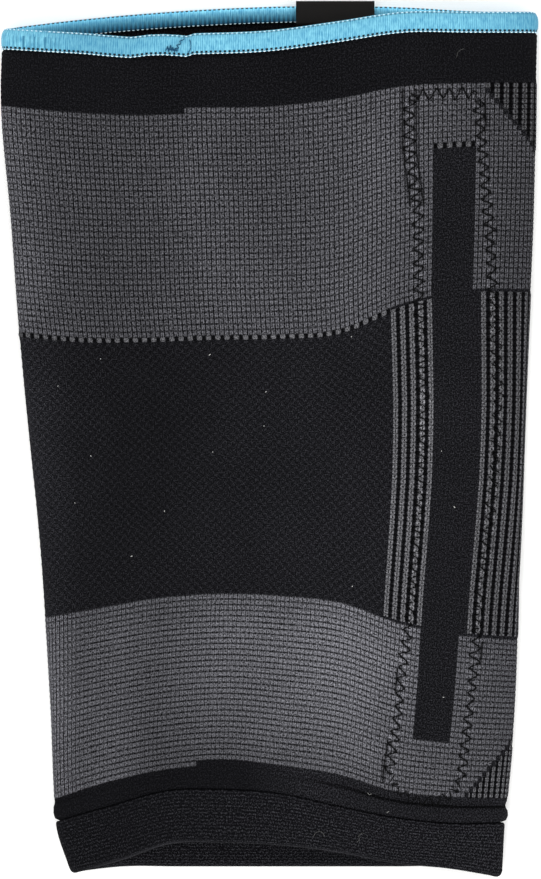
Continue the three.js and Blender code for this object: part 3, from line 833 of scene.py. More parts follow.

# Painted light and shade: relative brightness of the cloth across the front layer and down it, as light
# falls on its broad waves
SHADE_WALES = (0, 6, 12, 22, 31, 44, 62, 80, 98, 116)
upper_shade = np.interp(
    centre_wale, SHADE_WALES, (1.35, 1.1, 0.86, 0.75, 0.76, 0.97, 0.93, 1.15, 0.9, 0.7)
)
lower_shade = np.interp(
    centre_wale, SHADE_WALES, (1.45, 1.2, 0.78, 0.87, 0.7, 0.97, 1.06, 1.35, 0.93, 0.66)
)
knee_shade = np.interp(
    centre_wale, SHADE_WALES, (1.6, 1.15, 0.82, 0.7, 0.72, 0.9, 0.97, 1.0, 1.0, 0.95)
)
in_middle = np.interp(centre_wale, (20, 44, 88, 100), (0.0, 1.0, 1.0, 0.0))
down_shade = np.interp(centre_course, (110, 118, 126, 134, 140), (1.26, 1.12, 1.0, 0.86, 0.66))
lower_shade = lower_shade * (1 + in_middle * (down_shade - 1))
side_shade = np.where(grey_face > 0, upper_shade * (1 - in_lower) + lower_shade * in_lower, 1.0)
side_shade = np.where(bird_face > 0, knee_shade, side_shade)
# Painted shade of the ribs: darker towards both folds, above the knee and past the right seam, lighter
# below the knee
rib_shade_across = np.interp(centre_wale, (0, 60, 98, 116), (0.74, 1.0, 0.9, 0.7))
corner_rib_shade = np.interp(
    centre_course, (KNEE_TOP - 1, KNEE_TOP, KNEE_BOTTOM, KNEE_BOTTOM + 1), (0.78, 1.0, 1.0, 1.25)
)
rib_side = np.interp(centre_wale, (98, 106), (1.05, 0.88)) * corner_rib_shade
side_shade = np.where(rib_face_share > 0, rib_shade_across * rib_side, side_shade)

# Painted shade in the crease between the roll of spare cloth and the cloth above it
from_hem = HEM_SEAM - centre_course
tuck_here = smooth_table(TUCK[:, 0], TUCK[:, 1], np.clip(centre_wale / LAYER_WALES, 0, 1)).clip(0, 1)
crease_shade = np.exp(-((from_hem - 3.25) / 0.3) ** 2) * (centre_wale < LAYER_WALES + PAST_FOLD) * tuck_here
side_shade = side_shade * (1 - 0.8 * crease_shade)
# Brightness of each face: the painted light and shade above, a lighter lower grey band and darker teeth
tone = (1 + 0.16 * in_lower * grey_face) * side_shade * (1 - 0.3 * rib_face_share * in_teeth)

# Painted shade where the zigzag thread pulls the cloth in, and painted highlight on its puffs beside the
# thread
pull_share, puff_share = seam_pull(wale_grid, course_grid)
hidden = np.zeros(inner_points.shape[0] * inner_points.shape[1])
seam_values = np.stack([
    np.concatenate([pull_share.ravel(), hidden]), np.concatenate([puff_share.ravel(), hidden]),
    np.zeros(len(knit_points)), np.ones(len(knit_points)),
], axis=-1).astype(np.float32)
tube.data.attributes.new("seam", "FLOAT_COLOR", "POINT").data.foreach_set("color", seam_values.ravel())
dotted = rib_face_share * ~in_teeth
set_attribute(
    tube, "lines", (upright * has_lines).ravel(), (level * has_lines).ravel(), tone.ravel(),
    dotted.ravel(),
)
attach(tube, "root")
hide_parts("knit_sleeve")


# Zigzag stitching of the stay channel: black polyester thread, sewn through the knit and the tape
# inside it down both sides, and across at both ends. The hidden channel on the back is its mirror.
THREAD_RADIUS = 0.21
GROOVE_RADIUS = 0.15
THREAD_SIDES = 6


def swept_tube(path, radius, sides):
    """Closed tube along a path: rings of even points, square to the path, with closed ends.

    The path is an array of points. Each ring stands on the path's direction and the up direction."""
    ahead = np.gradient(path, axis=0)
    ahead /= np.linalg.norm(ahead, axis=1, keepdims=True)
    up = np.array([0.0, 0.0, 1.0]) - ahead[:, 2:3] * ahead
    up /= np.linalg.norm(up, axis=1, keepdims=True)
    aside = np.cross(ahead, up)
    turn = np.arange(sides) * 2 * np.pi / sides
    radius = np.broadcast_to(np.asarray(radius, float), (len(path),)).copy()
    radius[[0, -1]] *= 0.35
    ring = np.cos(turn)[None, :, None] * up[:, None] + np.sin(turn)[None, :, None] * aside[:, None]
    points = (path[:, None] + ring * radius[:, None, None]).reshape(-1, 3)
    i, k = np.meshgrid(np.arange(len(path) - 1), np.arange(sides), indexing="ij")
    beside = (k + 1) % sides
    quads = np.stack([i * sides + k, i * sides + beside, (i + 1) * sides + beside, (i + 1) * sides + k], -1)
    quads = quads.reshape(-1, 4)
    points = np.concatenate([points, path[[0, -1]]])
    first, last = len(points) - 2, len(points) - 1
    k = np.arange(0, sides, 2)
    start_cap = np.stack([np.full_like(k, first), (k + 2) % sides, k + 1, k], -1)
    base = (len(path) - 1) * sides
    end_cap = np.stack([np.full_like(k, last), base + k, base + k + 1, base + (k + 2) % sides], -1)
    return points, np.concatenate([quads, start_cap, end_cap])


def zigzag_path(name, mirrored):
    """Thread of one seam: its wave across the middle line, high between turns and deep at each."""
    length, course, wale, sway = seams[name]
    offset, phase = thread_wave(length, sway)
    ahead_course = np.gradient(course, length) * COURSE_MM
    ahead_wale = np.gradient(wale, length) * WALE_MM
    speed = np.hypot(ahead_course, ahead_wale)
    course = course - offset * ahead_wale / speed / COURSE_MM
    wale = wale + offset * ahead_course / speed / WALE_MM
    wale = 2 * KNEE_MIDDLE - wale if mirrored else wale
    place, y = place_of(wale, course)
    lift = 0.2 - 0.4 * np.abs(np.sin(phase)) ** 8
    return on_tube(place, y, cloth_depth(wale, course, place) - lift)


def joined(parts):
    """One set of points and quads from several."""
    points, quads, count = [], [], 0
    for part_points, part_quads in parts:
        points.append(part_points)
        quads.append(part_quads + count)
        count += len(part_points)
    return np.concatenate(points), np.concatenate(quads)


def fuzzy_thread(name, shade, lit, fibres_per_mm, roughness, specular):
    """Material of a spun thread: so many fibres to a millimetre, shaded and lit by turns."""
    thread = new_material(name)
    spot = add_node(thread, "TexCoord")
    fuzz = add_node(
        thread, "TexNoise",
        {"Vector": spot.outputs["Object"], "Scale": fibres_per_mm / MM, "Detail": 2.0},
    )
    fibres = {0: fuzz.outputs[0], 6: linear_colour(shade), 7: linear_colour(lit)}
    tone = add_node(thread, "Mix", fibres, data_type="RGBA")
    bump = add_node(
        thread, "Bump", {"Strength": 0.5, "Distance": 0.0001, "Height": fuzz.outputs[0]}
    )
    shader = add_node(
        thread,
        "BsdfPrincipled",
        {
            "Base Color": tone.outputs[2],
            "Roughness": roughness,
            "Specular IOR Level": specular,
            "Normal": bump.outputs[0],
        },
    )
    add_node(thread, "OutputMaterial", {"Surface": shader.outputs[0]})
    return thread


# Spun polyester sewing thread: black and dull, with fine fibres that just catch the light
thread_black = fuzzy_thread("black_polyester_thread", "#020202", "#0A0A0B", 3.5, 0.7, 0.05)


def groove_path(name, offset, first, last, mirrored):
    """Straight thread at an offset in millimetres beside a seam's middle line."""
    length, seam_course, seam_wale, sway = seams[name]
    course = np.linspace(first, last, 60)
    wale = np.interp(course, seam_course, seam_wale) + offset / WALE_MM
    wale = 2 * KNEE_MIDDLE - wale if mirrored else wale
    place, y = place_of(wale, course)
    return on_tube(place, y, cloth_depth(wale, course, place) - 0.22)


for seam_name, seam_mirrored in (("front", False), ("back", True)):
    seam_parts = [
        swept_tube(zigzag_path(name, seam_mirrored), THREAD_RADIUS, THREAD_SIDES) for name in SEAM_ROWS
    ]
    seam_parts += [
        swept_tube(groove_path(*groove, seam_mirrored), GROOVE_RADIUS, THREAD_SIDES) for groove in GROOVES
    ]
    seam = new_piece("zigzag_seam_" + seam_name, *joined(seam_parts), thread_black)
    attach(seam, "root")


# Elastic binding. A light blue folded elastic braid, laid over the thigh end's raw edge and sewn
# through all layers with a looped stitch, whose pale loops show along both of its edges.
BINDING_DEPTH = 6.9
BINDING_INNER_DEPTH = 5.4
BINDING_THICKNESS = 2 * BINDING_WALL + EDGE_WALL + 2 * CLEARANCE
BINDING_COLUMNS = 928
STITCHES = 241


def rim_curve(columns):
    """Places round the rim at even steps and the height of the rim there."""
    place = np.arange(columns) * ROUND_WALES / columns
    return place, height_of(place, np.full(columns, RIM_COURSE))


def leg_profile(depth_outer, depth_inner, wall, thickness):
    """Closed profile of a folded band, as distances from its edge and depths.

    It runs from the inner leg's tip, up over the rounded edge and down the outer leg to its tip,
    then back along the inside of the outer leg, round the slot, and down the inner leg's slot face."""
    radius = thickness / 2
    turn = np.linspace(0, np.pi, 13)
    arc_distance = radius * (1 - np.sin(turn))
    arc_depth = radius + radius * np.cos(turn)
    inner_down = np.linspace(depth_inner - 0.3, radius, 9)[:-1]
    outer_down = np.linspace(radius, depth_outer - 0.25, 21)[1:]
    distance = np.concatenate([
        [depth_inner - 0.05], inner_down, arc_distance, outer_down,
        [depth_outer, depth_outer - 0.1], [radius], [radius - 0.2], [radius], [depth_inner - 0.1],
    ])
    depth = np.concatenate([
        [thickness - 0.3], np.full(len(inner_down), thickness), arc_depth, np.zeros(len(outer_down)),
        [0.25, wall], [wall], [radius], [thickness - wall], [thickness - wall],
    ])
    return distance, depth


binding_distance, binding_depth = leg_profile(
    BINDING_DEPTH, BINDING_INNER_DEPTH, BINDING_WALL, BINDING_THICKNESS
)

# Where the braid's ends lap, the rim rises and dips: millimetres across the sleeve, and how far down
LAP_X = (-60, -46, -40, -35, -30.5, -27.5, -25, -13)
LAP_DROP = (0.0, 0.45, -0.3, -0.3, 0.15, 0.6, -0.1, 0.0)
binding_place, rim_y = rim_curve(BINDING_COLUMNS)
lap_x = on_tube(binding_place, rim_y, 0.0)[:, 0] - MOVE_X
rim_y = rim_y - np.interp(lap_x, LAP_X, LAP_DROP) * (binding_place < LAYER_WALES)
rim_points = on_tube(binding_place, rim_y, 0.0)
rim_gaps = np.linalg.norm(np.roll(rim_points, -1, axis=0) - rim_points, axis=1)
rim_run = np.concatenate([[0], np.cumsum(rim_gaps)])
RIM_LENGTH = rim_run[-1]
STITCH_PITCH = RIM_LENGTH / STITCHES

# Gathers near the left fold on the front, about 1.8 mm apart, and two long soft waves all round
run_turn = rim_run[:-1] * 2 * np.pi
gather = np.interp(rim_points[:, 0], (-86, -82, -72, -66), (0.2, 1.0, 0.8, 0.0))
gather = gather * (rim_points[:, 2] > 8)
gather_phase = run_turn / 1.8 + 1.6 * np.sin(rim_run[:-1] * 0.9)
gather_wave = gather * 0.30 * np.sin(gather_phase)
soft_wave = 0.10 * np.sin(run_turn / 23.0) + 0.06 * np.sin(run_turn / 9.1)
outer_leg = (binding_depth < 0.1) & (binding_distance > 1.6)
leg_share = np.clip((binding_distance - 1.0) / (BINDING_DEPTH - 1.0), 0, 1) * outer_leg
leg_puff = 0.35 * np.sin(np.pi * leg_share) * outer_leg
stitch_dip = 0.16 * np.exp(-((binding_distance - 6.15) / 0.35) ** 2) * outer_leg
inner_leg = (binding_depth > BINDING_THICKNESS - 0.05) & (binding_distance > 1.6)
pleat_share = np.clip((binding_distance - 1.8) / 3.0, 0, 1) * inner_leg
grid_depth = (
    binding_depth[:, None]
    - leg_puff[:, None] + stitch_dip[:, None]
    + 0.22 * pleat_share[:, None] * np.cos(run_turn / STITCH_PITCH)[None]
    - outer_leg[:, None] * (gather_wave + soft_wave)[None]
    + outer_leg[:, None] * (0.6 * rests_below(binding_place))[None]
)
binding_points = on_tube(
    np.broadcast_to(binding_place, grid_depth.shape), rim_y[None] - binding_distance[:, None],
    grid_depth,
)

# Braided nylon and elastane, light blue with a soft sheen: fine ribs 0.73 mm apart across the band,
# threads that run across it in brighter and darker streaks, and dark needle holes along its edges
BINDING_BLUE = "#7ABDD0"
BINDING_SHADE = "#3F84A6"
# Painted shade colours: BINDING_INNER for the far leg's inside, and the next one for the rim's shaded
# stretches and creases
BINDING_INNER = "#06425C"
BINDING_PAINTED_SHADE = "#1D6080"
HOLE_SHADOW = "#03161F"
BRAID_RIB_MM = 0.73
braid = new_material("light_blue_elastic_braid")
braid_uv = add_node(braid, "UVMap", uv_map="stitches")
braid_place = add_node(braid, "SeparateXYZ", {0: braid_uv.outputs[0]})
rib_step = add_node(braid, "Math", {0: braid_place.outputs[0], 1: BRAID_RIB_MM}, operation="DIVIDE")
rib_fract = add_node(braid, "Math", {0: rib_step.outputs[0]}, operation="FRACT")
rib_middle = add_node(braid, "Math", {0: rib_fract.outputs[0], 1: 0.5}, operation="PINGPONG")
braid_map = add_node(braid, "Mapping", {"Vector": braid_uv.outputs[0], "Scale": (1.8, 0.35, 1.0)})
braid_noise = add_node(
    braid, "TexNoise", {"Vector": braid_map.outputs[0], "Scale": 1.0, "Detail": 3.0, "Roughness": 0.7}
)
braid_rise = add_node(
    braid, "Math", {0: rib_middle.outputs[0], 1: 0.42, 2: braid_noise.outputs[0]},
    operation="MULTIPLY_ADD",
)
braid_cloud_map = add_node(braid, "Mapping", {"Vector": braid_uv.outputs[0], "Scale": (0.33, 0.5, 1.0)})
braid_cloud = add_node(
    braid, "TexNoise", {"Vector": braid_cloud_map.outputs[0], "Scale": 1.0, "Detail": 2.0}
)
braid_sum = add_node(
    braid, "Math", {0: braid_cloud.outputs[0], 1: 0.28, 2: braid_rise.outputs[0]},
    operation="MULTIPLY_ADD",
)
braid_tone = add_node(braid, "MapRange", {0: braid_sum.outputs[0], 1: 0.54, 2: 0.97, 3: 0.0, 4: 1.0})
braid_side = add_node(braid, "Attribute", attribute_name="leg")
braid_leg = add_node(braid, "SeparateColor", {0: braid_side.outputs["Color"]})
braid_colour = add_node(
    braid, "Mix",
    {0: braid_tone.outputs[0], 6: linear_colour(BINDING_SHADE), 7: linear_colour(BINDING_BLUE)},
    data_type="RGBA",
)
# Painted shade: the rim's shaded stretches and gather creases, then the far leg's inside, darker away from
# the rim
leg_shade_colour = add_node(
    braid, "Mix",
    {0: braid_leg.outputs[2], 6: braid_colour.outputs[2], 7: linear_colour(BINDING_PAINTED_SHADE)},
    data_type="RGBA",
)
inner_shade_colour = add_node(
    braid, "Mix",
    {0: braid_leg.outputs[0], 6: leg_shade_colour.outputs[2], 7: linear_colour(BINDING_INNER)},
    data_type="RGBA",
)
# Painted light: the far side of the braid, which lies in shade, is made 1.6 times as bright as the near
# side
far_side_light = add_node(
    braid, "Math", {0: braid_side.outputs["Alpha"], 1: -0.6, 2: 1.6}, operation="MULTIPLY_ADD"
)
far_colour = add_node(
    braid, "VectorMath", {0: inner_shade_colour.outputs[2], "Scale": far_side_light.outputs[0]}, operation="SCALE"
)
hole_step = add_node(braid, "Math", {0: braid_place.outputs[0], 1: STITCH_PITCH}, operation="DIVIDE")
hole_part = add_node(braid, "Math", {0: hole_step.outputs[0]}, operation="FRACT")
hole_off = add_node(braid, "Math", {0: hole_part.outputs[0], 1: 0.5}, operation="PINGPONG")
hole_here = add_node(braid, "MapRange", {0: hole_off.outputs[0], 1: 0.31, 2: 0.23})
hole = add_node(braid, "Math", {0: hole_here.outputs[0], 1: braid_leg.outputs[1]}, operation="MULTIPLY")
hole_colour = add_node(
    braid, "Mix", {0: hole.outputs[0], 6: far_colour.outputs[0], 7: linear_colour(HOLE_SHADOW)},
    data_type="RGBA",
)
braid_bump = add_node(
    braid, "Bump", {"Strength": 0.6, "Distance": 0.0002, "Height": braid_rise.outputs[0]}
)
braid_shader = add_node(
    braid,
    "BsdfPrincipled",
    {
        "Base Color": hole_colour.outputs[2],
        "Roughness": 0.6,
        "Specular IOR Level": 0.12,
        "Normal": braid_bump.outputs[0],
    },
)
add_node(braid, "OutputMaterial", {"Surface": braid_shader.outputs[0]})

profile_count = len(binding_distance)
binding = new_piece(
    "elastic_binding",
    binding_points.reshape(-1, 3),
    band_quads(profile_count, BINDING_COLUMNS),
    braid,
)
profile_run = np.concatenate([
    [0], np.cumsum(np.hypot(np.diff(binding_distance), np.diff(binding_depth)))
])
profile_next = np.append(profile_run[1:], profile_run[-1] + 2.0)
left_run = np.broadcast_to(rim_run[:-1], (profile_count, BINDING_COLUMNS))
right_run = np.broadcast_to(rim_run[1:], left_run.shape)
upper_run = np.broadcast_to(profile_run[:, None], left_run.shape)
lower_run = np.broadcast_to(profile_next[:, None], left_run.shape)
set_uv(
    binding,
    np.stack([left_run, left_run, right_run, right_run], axis=-1),
    np.stack([upper_run, lower_run, lower_run, upper_run], axis=-1),
)
face_distance = (binding_distance + np.roll(binding_distance, -1)) / 2
face_depth = (binding_depth + np.roll(binding_depth, -1)) / 2
far_side = face_depth > BINDING_THICKNESS / 2

# Rows of needle holes: along the lower edge, the rim, the far side's rim and its pleated edge, each between
# two distances from the rim in millimetres. Their dark colour is painted shadow in the holes and between
# the pleats.
LOWER_HOLES = (5.95, 6.65)
RIM_HOLES = (0.35, 1.0)
FAR_HOLES_END = 0.65
low_row = (face_distance > LOWER_HOLES[0]) & (face_distance < LOWER_HOLES[1]) & (face_depth < 0.2)
rim_row = (face_distance > RIM_HOLES[0]) & (face_distance < RIM_HOLES[1]) & ~far_side
far_row = (face_distance < FAR_HOLES_END) & far_side
pleat_row = np.clip((face_distance - 2.2) / 3.0, 0, 1) * (face_depth > BINDING_THICKNESS - 0.2)
rim_fade = np.interp(rim_points[:, 0], (-76, -66, 50, 84), (0.15, 1.0, 1.0, 0.5))
holes = (low_row + 0.95 * far_row + 0.8 * pleat_row)[:, None]
holes = holes + 0.5 * rim_row[:, None] * rim_fade[None]

# Painted shade: the inner leg darkens away from the rim, both sides darken along it where less light falls,
# and gathers darken in their creases
inner_leg_shade = far_side * np.clip((face_distance - 0.7) / 4.4, 0, 1) ** 0.8
spread = np.ones((1, BINDING_COLUMNS))
wrinkle_shade = gather * np.clip(-np.sin(gather_phase), 0, 1) ** 3
near_shade = np.interp(
    rim_points[:, 0], (-89, -78, -70, -62, -51, -38, -26, -22, 42, 60, 73, 82, 88),
    (0.0, 0.0, 0.2, 0.36, 0.33, 0.14, 0.08, 0.0, 0.0, 0.05, 0.16, 0.33, 0.5),
)
far_shade = np.interp(
    rim_points[:, 0], (-60, -51, -42, -32, -14, -4, 10), (0.36, 0.36, 0.25, 0.18, 0.13, 0.05, 0.0)
)
side_of_rim = np.where(far_side[:, None], far_shade[None], near_shade[None])
on_leg = (outer_leg & (binding_distance > 2.0)) * 1.0
leg_shade = np.clip(side_of_rim + 0.95 * on_leg[:, None] * wrinkle_shade[None], 0, 1)
set_attribute(
    binding, "leg", (inner_leg_shade[:, None] * spread).ravel(), holes.ravel(),
    leg_shade.ravel(), (~far_side[:, None] * spread).ravel(),
)
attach(binding, "root")
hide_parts("top_binding")


# Loops of the binding's stitch: pale soft thread, a scallop over the lower edge at each stitch and
# a short dash near the rim.

# Bulked nylon thread: almost white, soft and matt, so each loop is a small bright dot
loops_white = fuzzy_thread("pale_bulked_thread", "#A9D3E2", "#F4FBFD", 2.5, 0.8, 0.2)


def stitch_row(along, distance, depth, radius, sides):
    """The same short thread at every stitch of the binding: copies of one path round the rim.

    The path is three lists: steps along the rim, distances from the rim and depths, in millimetres."""
    along, distance, depth = (np.asarray(a, float) for a in (along, distance, depth))
    start = (np.arange(STITCHES) + 0.5)[:, None] * (RIM_LENGTH / STITCHES)
    run = np.mod(start + along[None], RIM_LENGTH)
    place = np.interp(run, rim_run, np.append(binding_place, ROUND_WALES))
    y = np.interp(run, rim_run, np.append(rim_y, rim_y[0])) - distance[None]
    wave = gather_wave + soft_wave - 0.6 * rests_below(binding_place)
    waves = np.interp(run, rim_run, np.append(wave, wave[0]))
    paths = on_tube(place, y, depth[None] - waves * (depth < 1.0)[None])
    return joined([swept_tube(path, radius, sides) for path in paths])


scallop_turn = np.linspace(0.1, np.pi - 0.1, 6)
scallop_bow = np.sin(scallop_turn)
scallops = stitch_row(
    0.40 * np.cos(scallop_turn), 6.62 + 0.28 * scallop_bow, -0.10 - 0.12 * scallop_bow, 0.17, 6
)
dashes = stitch_row(
    [-0.4, -0.15, 0.12, 0.38], [0.42, 0.30, 0.30, 0.42], [0.60, 0.58, 0.58, 0.60], 0.14, 4
)
inner_dashes = stitch_row(
    [-0.45, -0.15, 0.15, 0.45], [5.2, 5.3, 5.3, 5.2],
    BINDING_THICKNESS + np.array([-0.05, 0.10, 0.10, -0.05]), 0.15, 4,
)
loops = new_piece("binding_stitch_loops", *joined([scallops, dashes, inner_dashes]), loops_white)
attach(loops, "root")


# Turned hem. The black end of the tube, folded inwards and sewn down, so the edge is a round fold
# and the cloth is double above it.
HEM_THICKNESS = 2 * HEM_WALL + EDGE_WALL + 2 * CLEARANCE
HEM_COLUMNS = 464
HEM_STEPS = 44
HEM_COURSE_STEP = 1.19
hem_radius = HEM_THICKNESS / 2

# Share of the way from the seam to the edge, distance past it, and depth, once round the profile
hem_turn = np.linspace(0, np.pi, 13)[1:-1]
hem_down = np.linspace(0, 1, HEM_STEPS)
hem_up = hem_down[::-4]
hem_slot = [0.02, 0.5, 0.88, 0.92, 0.88, 0.5, 0.02]
hem_share = np.concatenate([hem_down, np.ones(len(hem_turn)), hem_up, hem_slot])
hem_past = np.concatenate([
    np.zeros(HEM_STEPS), hem_radius * np.sin(hem_turn), np.zeros(len(hem_up) + len(hem_slot))
])
hem_depth = np.concatenate([
    np.zeros(HEM_STEPS), hem_radius * (1 - np.cos(hem_turn)), np.full(len(hem_up), HEM_THICKNESS),
    [HEM_THICKNESS - HEM_WALL] * 3, [hem_radius], [HEM_WALL] * 3,
])
hem_place = np.arange(HEM_COLUMNS) * ROUND_WALES / HEM_COLUMNS
seam_y = height_of(hem_place, np.full(HEM_COLUMNS, float(HEM_SEAM)))
edge_y = height_of(hem_place, np.full(HEM_COLUMNS, HEM_COURSE)) + hem_radius
hem_y = seam_y[None] + (edge_y - seam_y)[None] * hem_share[:, None] - hem_past[:, None]
hem_run = seam_y[None] - hem_y
on_outer = (np.arange(len(hem_share)) < HEM_STEPS)[:, None]
hem_rib = 0.012 * np.sin(2 * np.pi * (hem_run / HEM_COURSE_STEP + 0.25 * np.sin(hem_place / 6.0)[None]))
hem_slack = 0.18 * np.sin(hem_place * 2 * np.pi * 5 / ROUND_WALES)[None]
hem_slack = hem_slack * np.sin(np.pi * hem_share)[:, None]
hem_lip = 0.5 * np.clip(1 - hem_run / 0.9, 0, 1) ** 2
hem_back = rests_below(hem_place)[None]
hem_swell = (hem_rib + hem_slack) * (1 - 0.7 * hem_back) + 0.15 - 0.35 * hem_back
hem_grid_depth = hem_depth[:, None] - on_outer * (hem_swell - hem_lip)
hem_points = on_tube(np.broadcast_to(hem_place, hem_y.shape), hem_y, hem_grid_depth)

# Plain-knit nylon hem, matt black: fine level courses with short flecks where fibres catch light
HEM_BLACK = "#070709"
HEM_LIT = "#36363A"
hem_knit = new_material("black_nylon_hem_knit")
hem_uv = add_node(hem_knit, "UVMap", uv_map="stitches")
hem_place_parts = add_node(hem_knit, "SeparateXYZ", {0: hem_uv.outputs[0]})
hem_course = add_node(
    hem_knit, "Math", {0: hem_place_parts.outputs[1], 1: HEM_COURSE_STEP}, operation="DIVIDE"
)
hem_course_part = add_node(hem_knit, "Math", {0: hem_course.outputs[0]}, operation="FRACT")
hem_course_far = add_node(
    hem_knit, "Math", {0: hem_course_part.outputs[0], 1: 0.5}, operation="PINGPONG"
)
hem_map = add_node(hem_knit, "Mapping", {"Vector": hem_uv.outputs[0], "Scale": (2.2, 1.6, 1.0)})
hem_noise = add_node(
    hem_knit, "TexNoise", {"Vector": hem_map.outputs[0], "Scale": 1.0, "Detail": 3.0, "Roughness": 0.75}
)
hem_rise = add_node(
    hem_knit, "Math", {0: hem_course_far.outputs[0], 1: 0.16, 2: hem_noise.outputs[0]},
    operation="MULTIPLY_ADD",
)
hem_fleck = add_node(hem_knit, "MapRange", {0: hem_rise.outputs[0], 1: 0.555, 2: 0.685, 3: 0.0, 4: 1.0})
hem_side = add_node(hem_knit, "Attribute", attribute_name="hem_edge")
hem_side_parts = add_node(hem_knit, "SeparateColor", {0: hem_side.outputs["Color"]})
hem_tone = add_node(
    hem_knit, "Math",
    {0: hem_fleck.outputs[0], 1: hem_side_parts.outputs[1], 2: hem_side_parts.outputs[0]},
    operation="MULTIPLY_ADD",
)
hem_colour = add_node(
    hem_knit, "Mix", {0: hem_tone.outputs[0], 6: linear_colour(HEM_BLACK), 7: linear_colour(HEM_LIT)},
    data_type="RGBA",
)
hem_bump = add_node(
    hem_knit, "Bump", {"Strength": 0.6, "Distance": 0.0002, "Height": hem_rise.outputs[0]}
)
hem_shader = add_node(
    hem_knit,
    "BsdfPrincipled",
    {
        "Base Color": hem_colour.outputs[2],
        "Roughness": 0.85,
        "Specular IOR Level": 0.02,
        "Normal": hem_bump.outputs[0],
    },
)
add_node(hem_knit, "OutputMaterial", {"Surface": hem_shader.outputs[0]})
hem = new_piece(
    "turned_hem", hem_points.reshape(-1, 3), band_quads(len(hem_share), HEM_COLUMNS), hem_knit
)
hem_lengths = np.linalg.norm(np.roll(hem_points[0], -1, axis=0) - hem_points[0], axis=1)
hem_along = np.concatenate([[0], np.cumsum(hem_lengths)])
hem_steps = np.abs(np.diff(hem_share)) * 16 + np.abs(np.diff(hem_past)) + np.abs(np.diff(hem_depth))
hem_across = np.concatenate([[0], np.cumsum(hem_steps)])
hem_next = np.append(hem_across[1:], hem_across[-1] + 1.0)
hem_left = np.broadcast_to(hem_along[:-1], (len(hem_share), HEM_COLUMNS))
hem_right = np.broadcast_to(hem_along[1:], hem_left.shape)
hem_upper = np.broadcast_to(hem_across[:, None], hem_left.shape)
hem_lower = np.broadcast_to(hem_next[:, None], hem_left.shape)
set_uv(
    hem,
    np.stack([hem_left, hem_left, hem_right, hem_right], axis=-1),
    np.stack([hem_upper, hem_lower, hem_lower, hem_upper], axis=-1),
)

# The round edge catches light in two stretches, and the flecks are brighter towards the right
EDGE_ROW = HEM_STEPS + 2.5
edge_light = np.exp(-((np.arange(len(hem_share)) - EDGE_ROW) / 1.3) ** 2)[:, None] * np.interp(
    hem_place, (4, 14, 30, 44, 58, 70, 84), (0.0, 0.28, 0.34, 0.05, 0.1, 0.25, 0.0)
)[None]
contrast = np.interp(hem_place, (0, 20, 60, 114, 122), (0.65, 0.55, 1.05, 1.45, 1.3))
contrast = np.broadcast_to(contrast, edge_light.shape)
set_attribute(
    hem, "hem_edge",
    edge_light.ravel(), contrast.ravel(), np.zeros(contrast.size), np.ones(contrast.size),
)
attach(hem, "root")
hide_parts("bottom_hem")


# Stay tapes. Black woven polyester tape inside each side channel, held by the zigzag seam, with the
# flexible stay hidden under it.

# A channel's two edges as shares of the width, at shares of the length from the thigh end
CHANNEL = np.array([
    (0.00, 0.755, 0.885),
    (0.15, 0.765, 0.898),
    (0.35, 0.785, 0.927),
    (0.55, 0.789, 0.930),
    (0.72, 0.772, 0.917),
    (1.00, 0.742, 0.902),
])
KNEE_PANEL_SHARE = 0.35
STAY_TAPE_WALL = 0.9
STAY_TAPE_INSET = 27.5
TAPE_STEPS = 40
TAPE_ROWS = 220
# Each tape's node, whether it lies in the front layer, and the photograph's rows of the layer's ends
STAY_TAPES = [("stay_tape_right", True, 11, 870), ("stay_tape_left", False, 29, 866)]


def place_at(y, x, front):
    """Place round the tube of a distance x from the middle, on the front or on the back layer."""
    along, half, middle, flat, lean, reach, fold_top, rise = section_at(y)
    lean = lean if front else np.zeros_like(lean)
    reach = reach if front else flat
    bend = 2 / 3 * rise ** 2 / reach ** 4 if front else 0
    straight = reach + bend * reach ** 3
    angle = np.arcsin(np.clip((np.abs(x) - flat) / FOLD_RADIUS, -1, 1))
    on_fold = np.abs(x) > reach
    run = np.where(on_fold, np.sign(x) * (straight + (angle - lean) * FOLD_RADIUS), x + bend * x ** 3)
    whole = straight + FOLD_RADIUS * (np.pi / 2 - lean)
    share = 0.5 + 0.5 * run / whole
    return share * LAYER_WALES if front else (2 - share) * LAYER_WALES


def strip_quads(rows, columns):
    """Quads of a closed flat strip: its profile closes on itself, and quads close both its ends."""
    r, c = np.meshgrid(np.arange(rows - 1), np.arange(columns), indexing="ij")
    right = (c + 1) % columns
    here, below = r * columns, (r + 1) * columns
    sides = np.stack([here + c, below + c, below + right, here + right], -1)
    k = np.arange(columns // 2 - 1)
    far = columns - 1 - k
    last = (rows - 1) * columns
    start = np.stack([k, k + 1, far - 1, far], -1)
    end = np.stack([last + k, last + far, last + far - 1, last + k + 1], -1)
    return np.concatenate([sides.reshape(-1, 4), start, end])


# Woven polyester tape, black and dull: a herringbone 16 mm wide, whose threads are drawn 0.9 mm
# apart, coarser than real ones, so that they show
TAPE_BLACK = "#111113"
TAPE_LIT = "#262629"
tape_black = new_material("black_woven_polyester_tape")
tape_spot = add_node(tape_black, "TexCoord")
tape_place = add_node(tape_black, "SeparateXYZ", {0: tape_spot.outputs["Object"]})
tape_rise = add_node(tape_black, "Math", {0: tape_place.outputs[0], 1: 0.008}, operation="PINGPONG")
tape_sum = add_node(
    tape_black, "Math", {0: tape_rise.outputs[0], 1: tape_place.outputs[1]}, operation="ADD"
)
tape_step = add_node(tape_black, "Math", {0: tape_sum.outputs[0], 1: 7000.0}, operation="MULTIPLY")
tape_wave = add_node(tape_black, "Math", {0: tape_step.outputs[0]}, operation="SINE")
tape_tone = add_node(tape_black, "MapRange", {0: tape_wave.outputs[0], 1: -1.0, 2: 1.0})
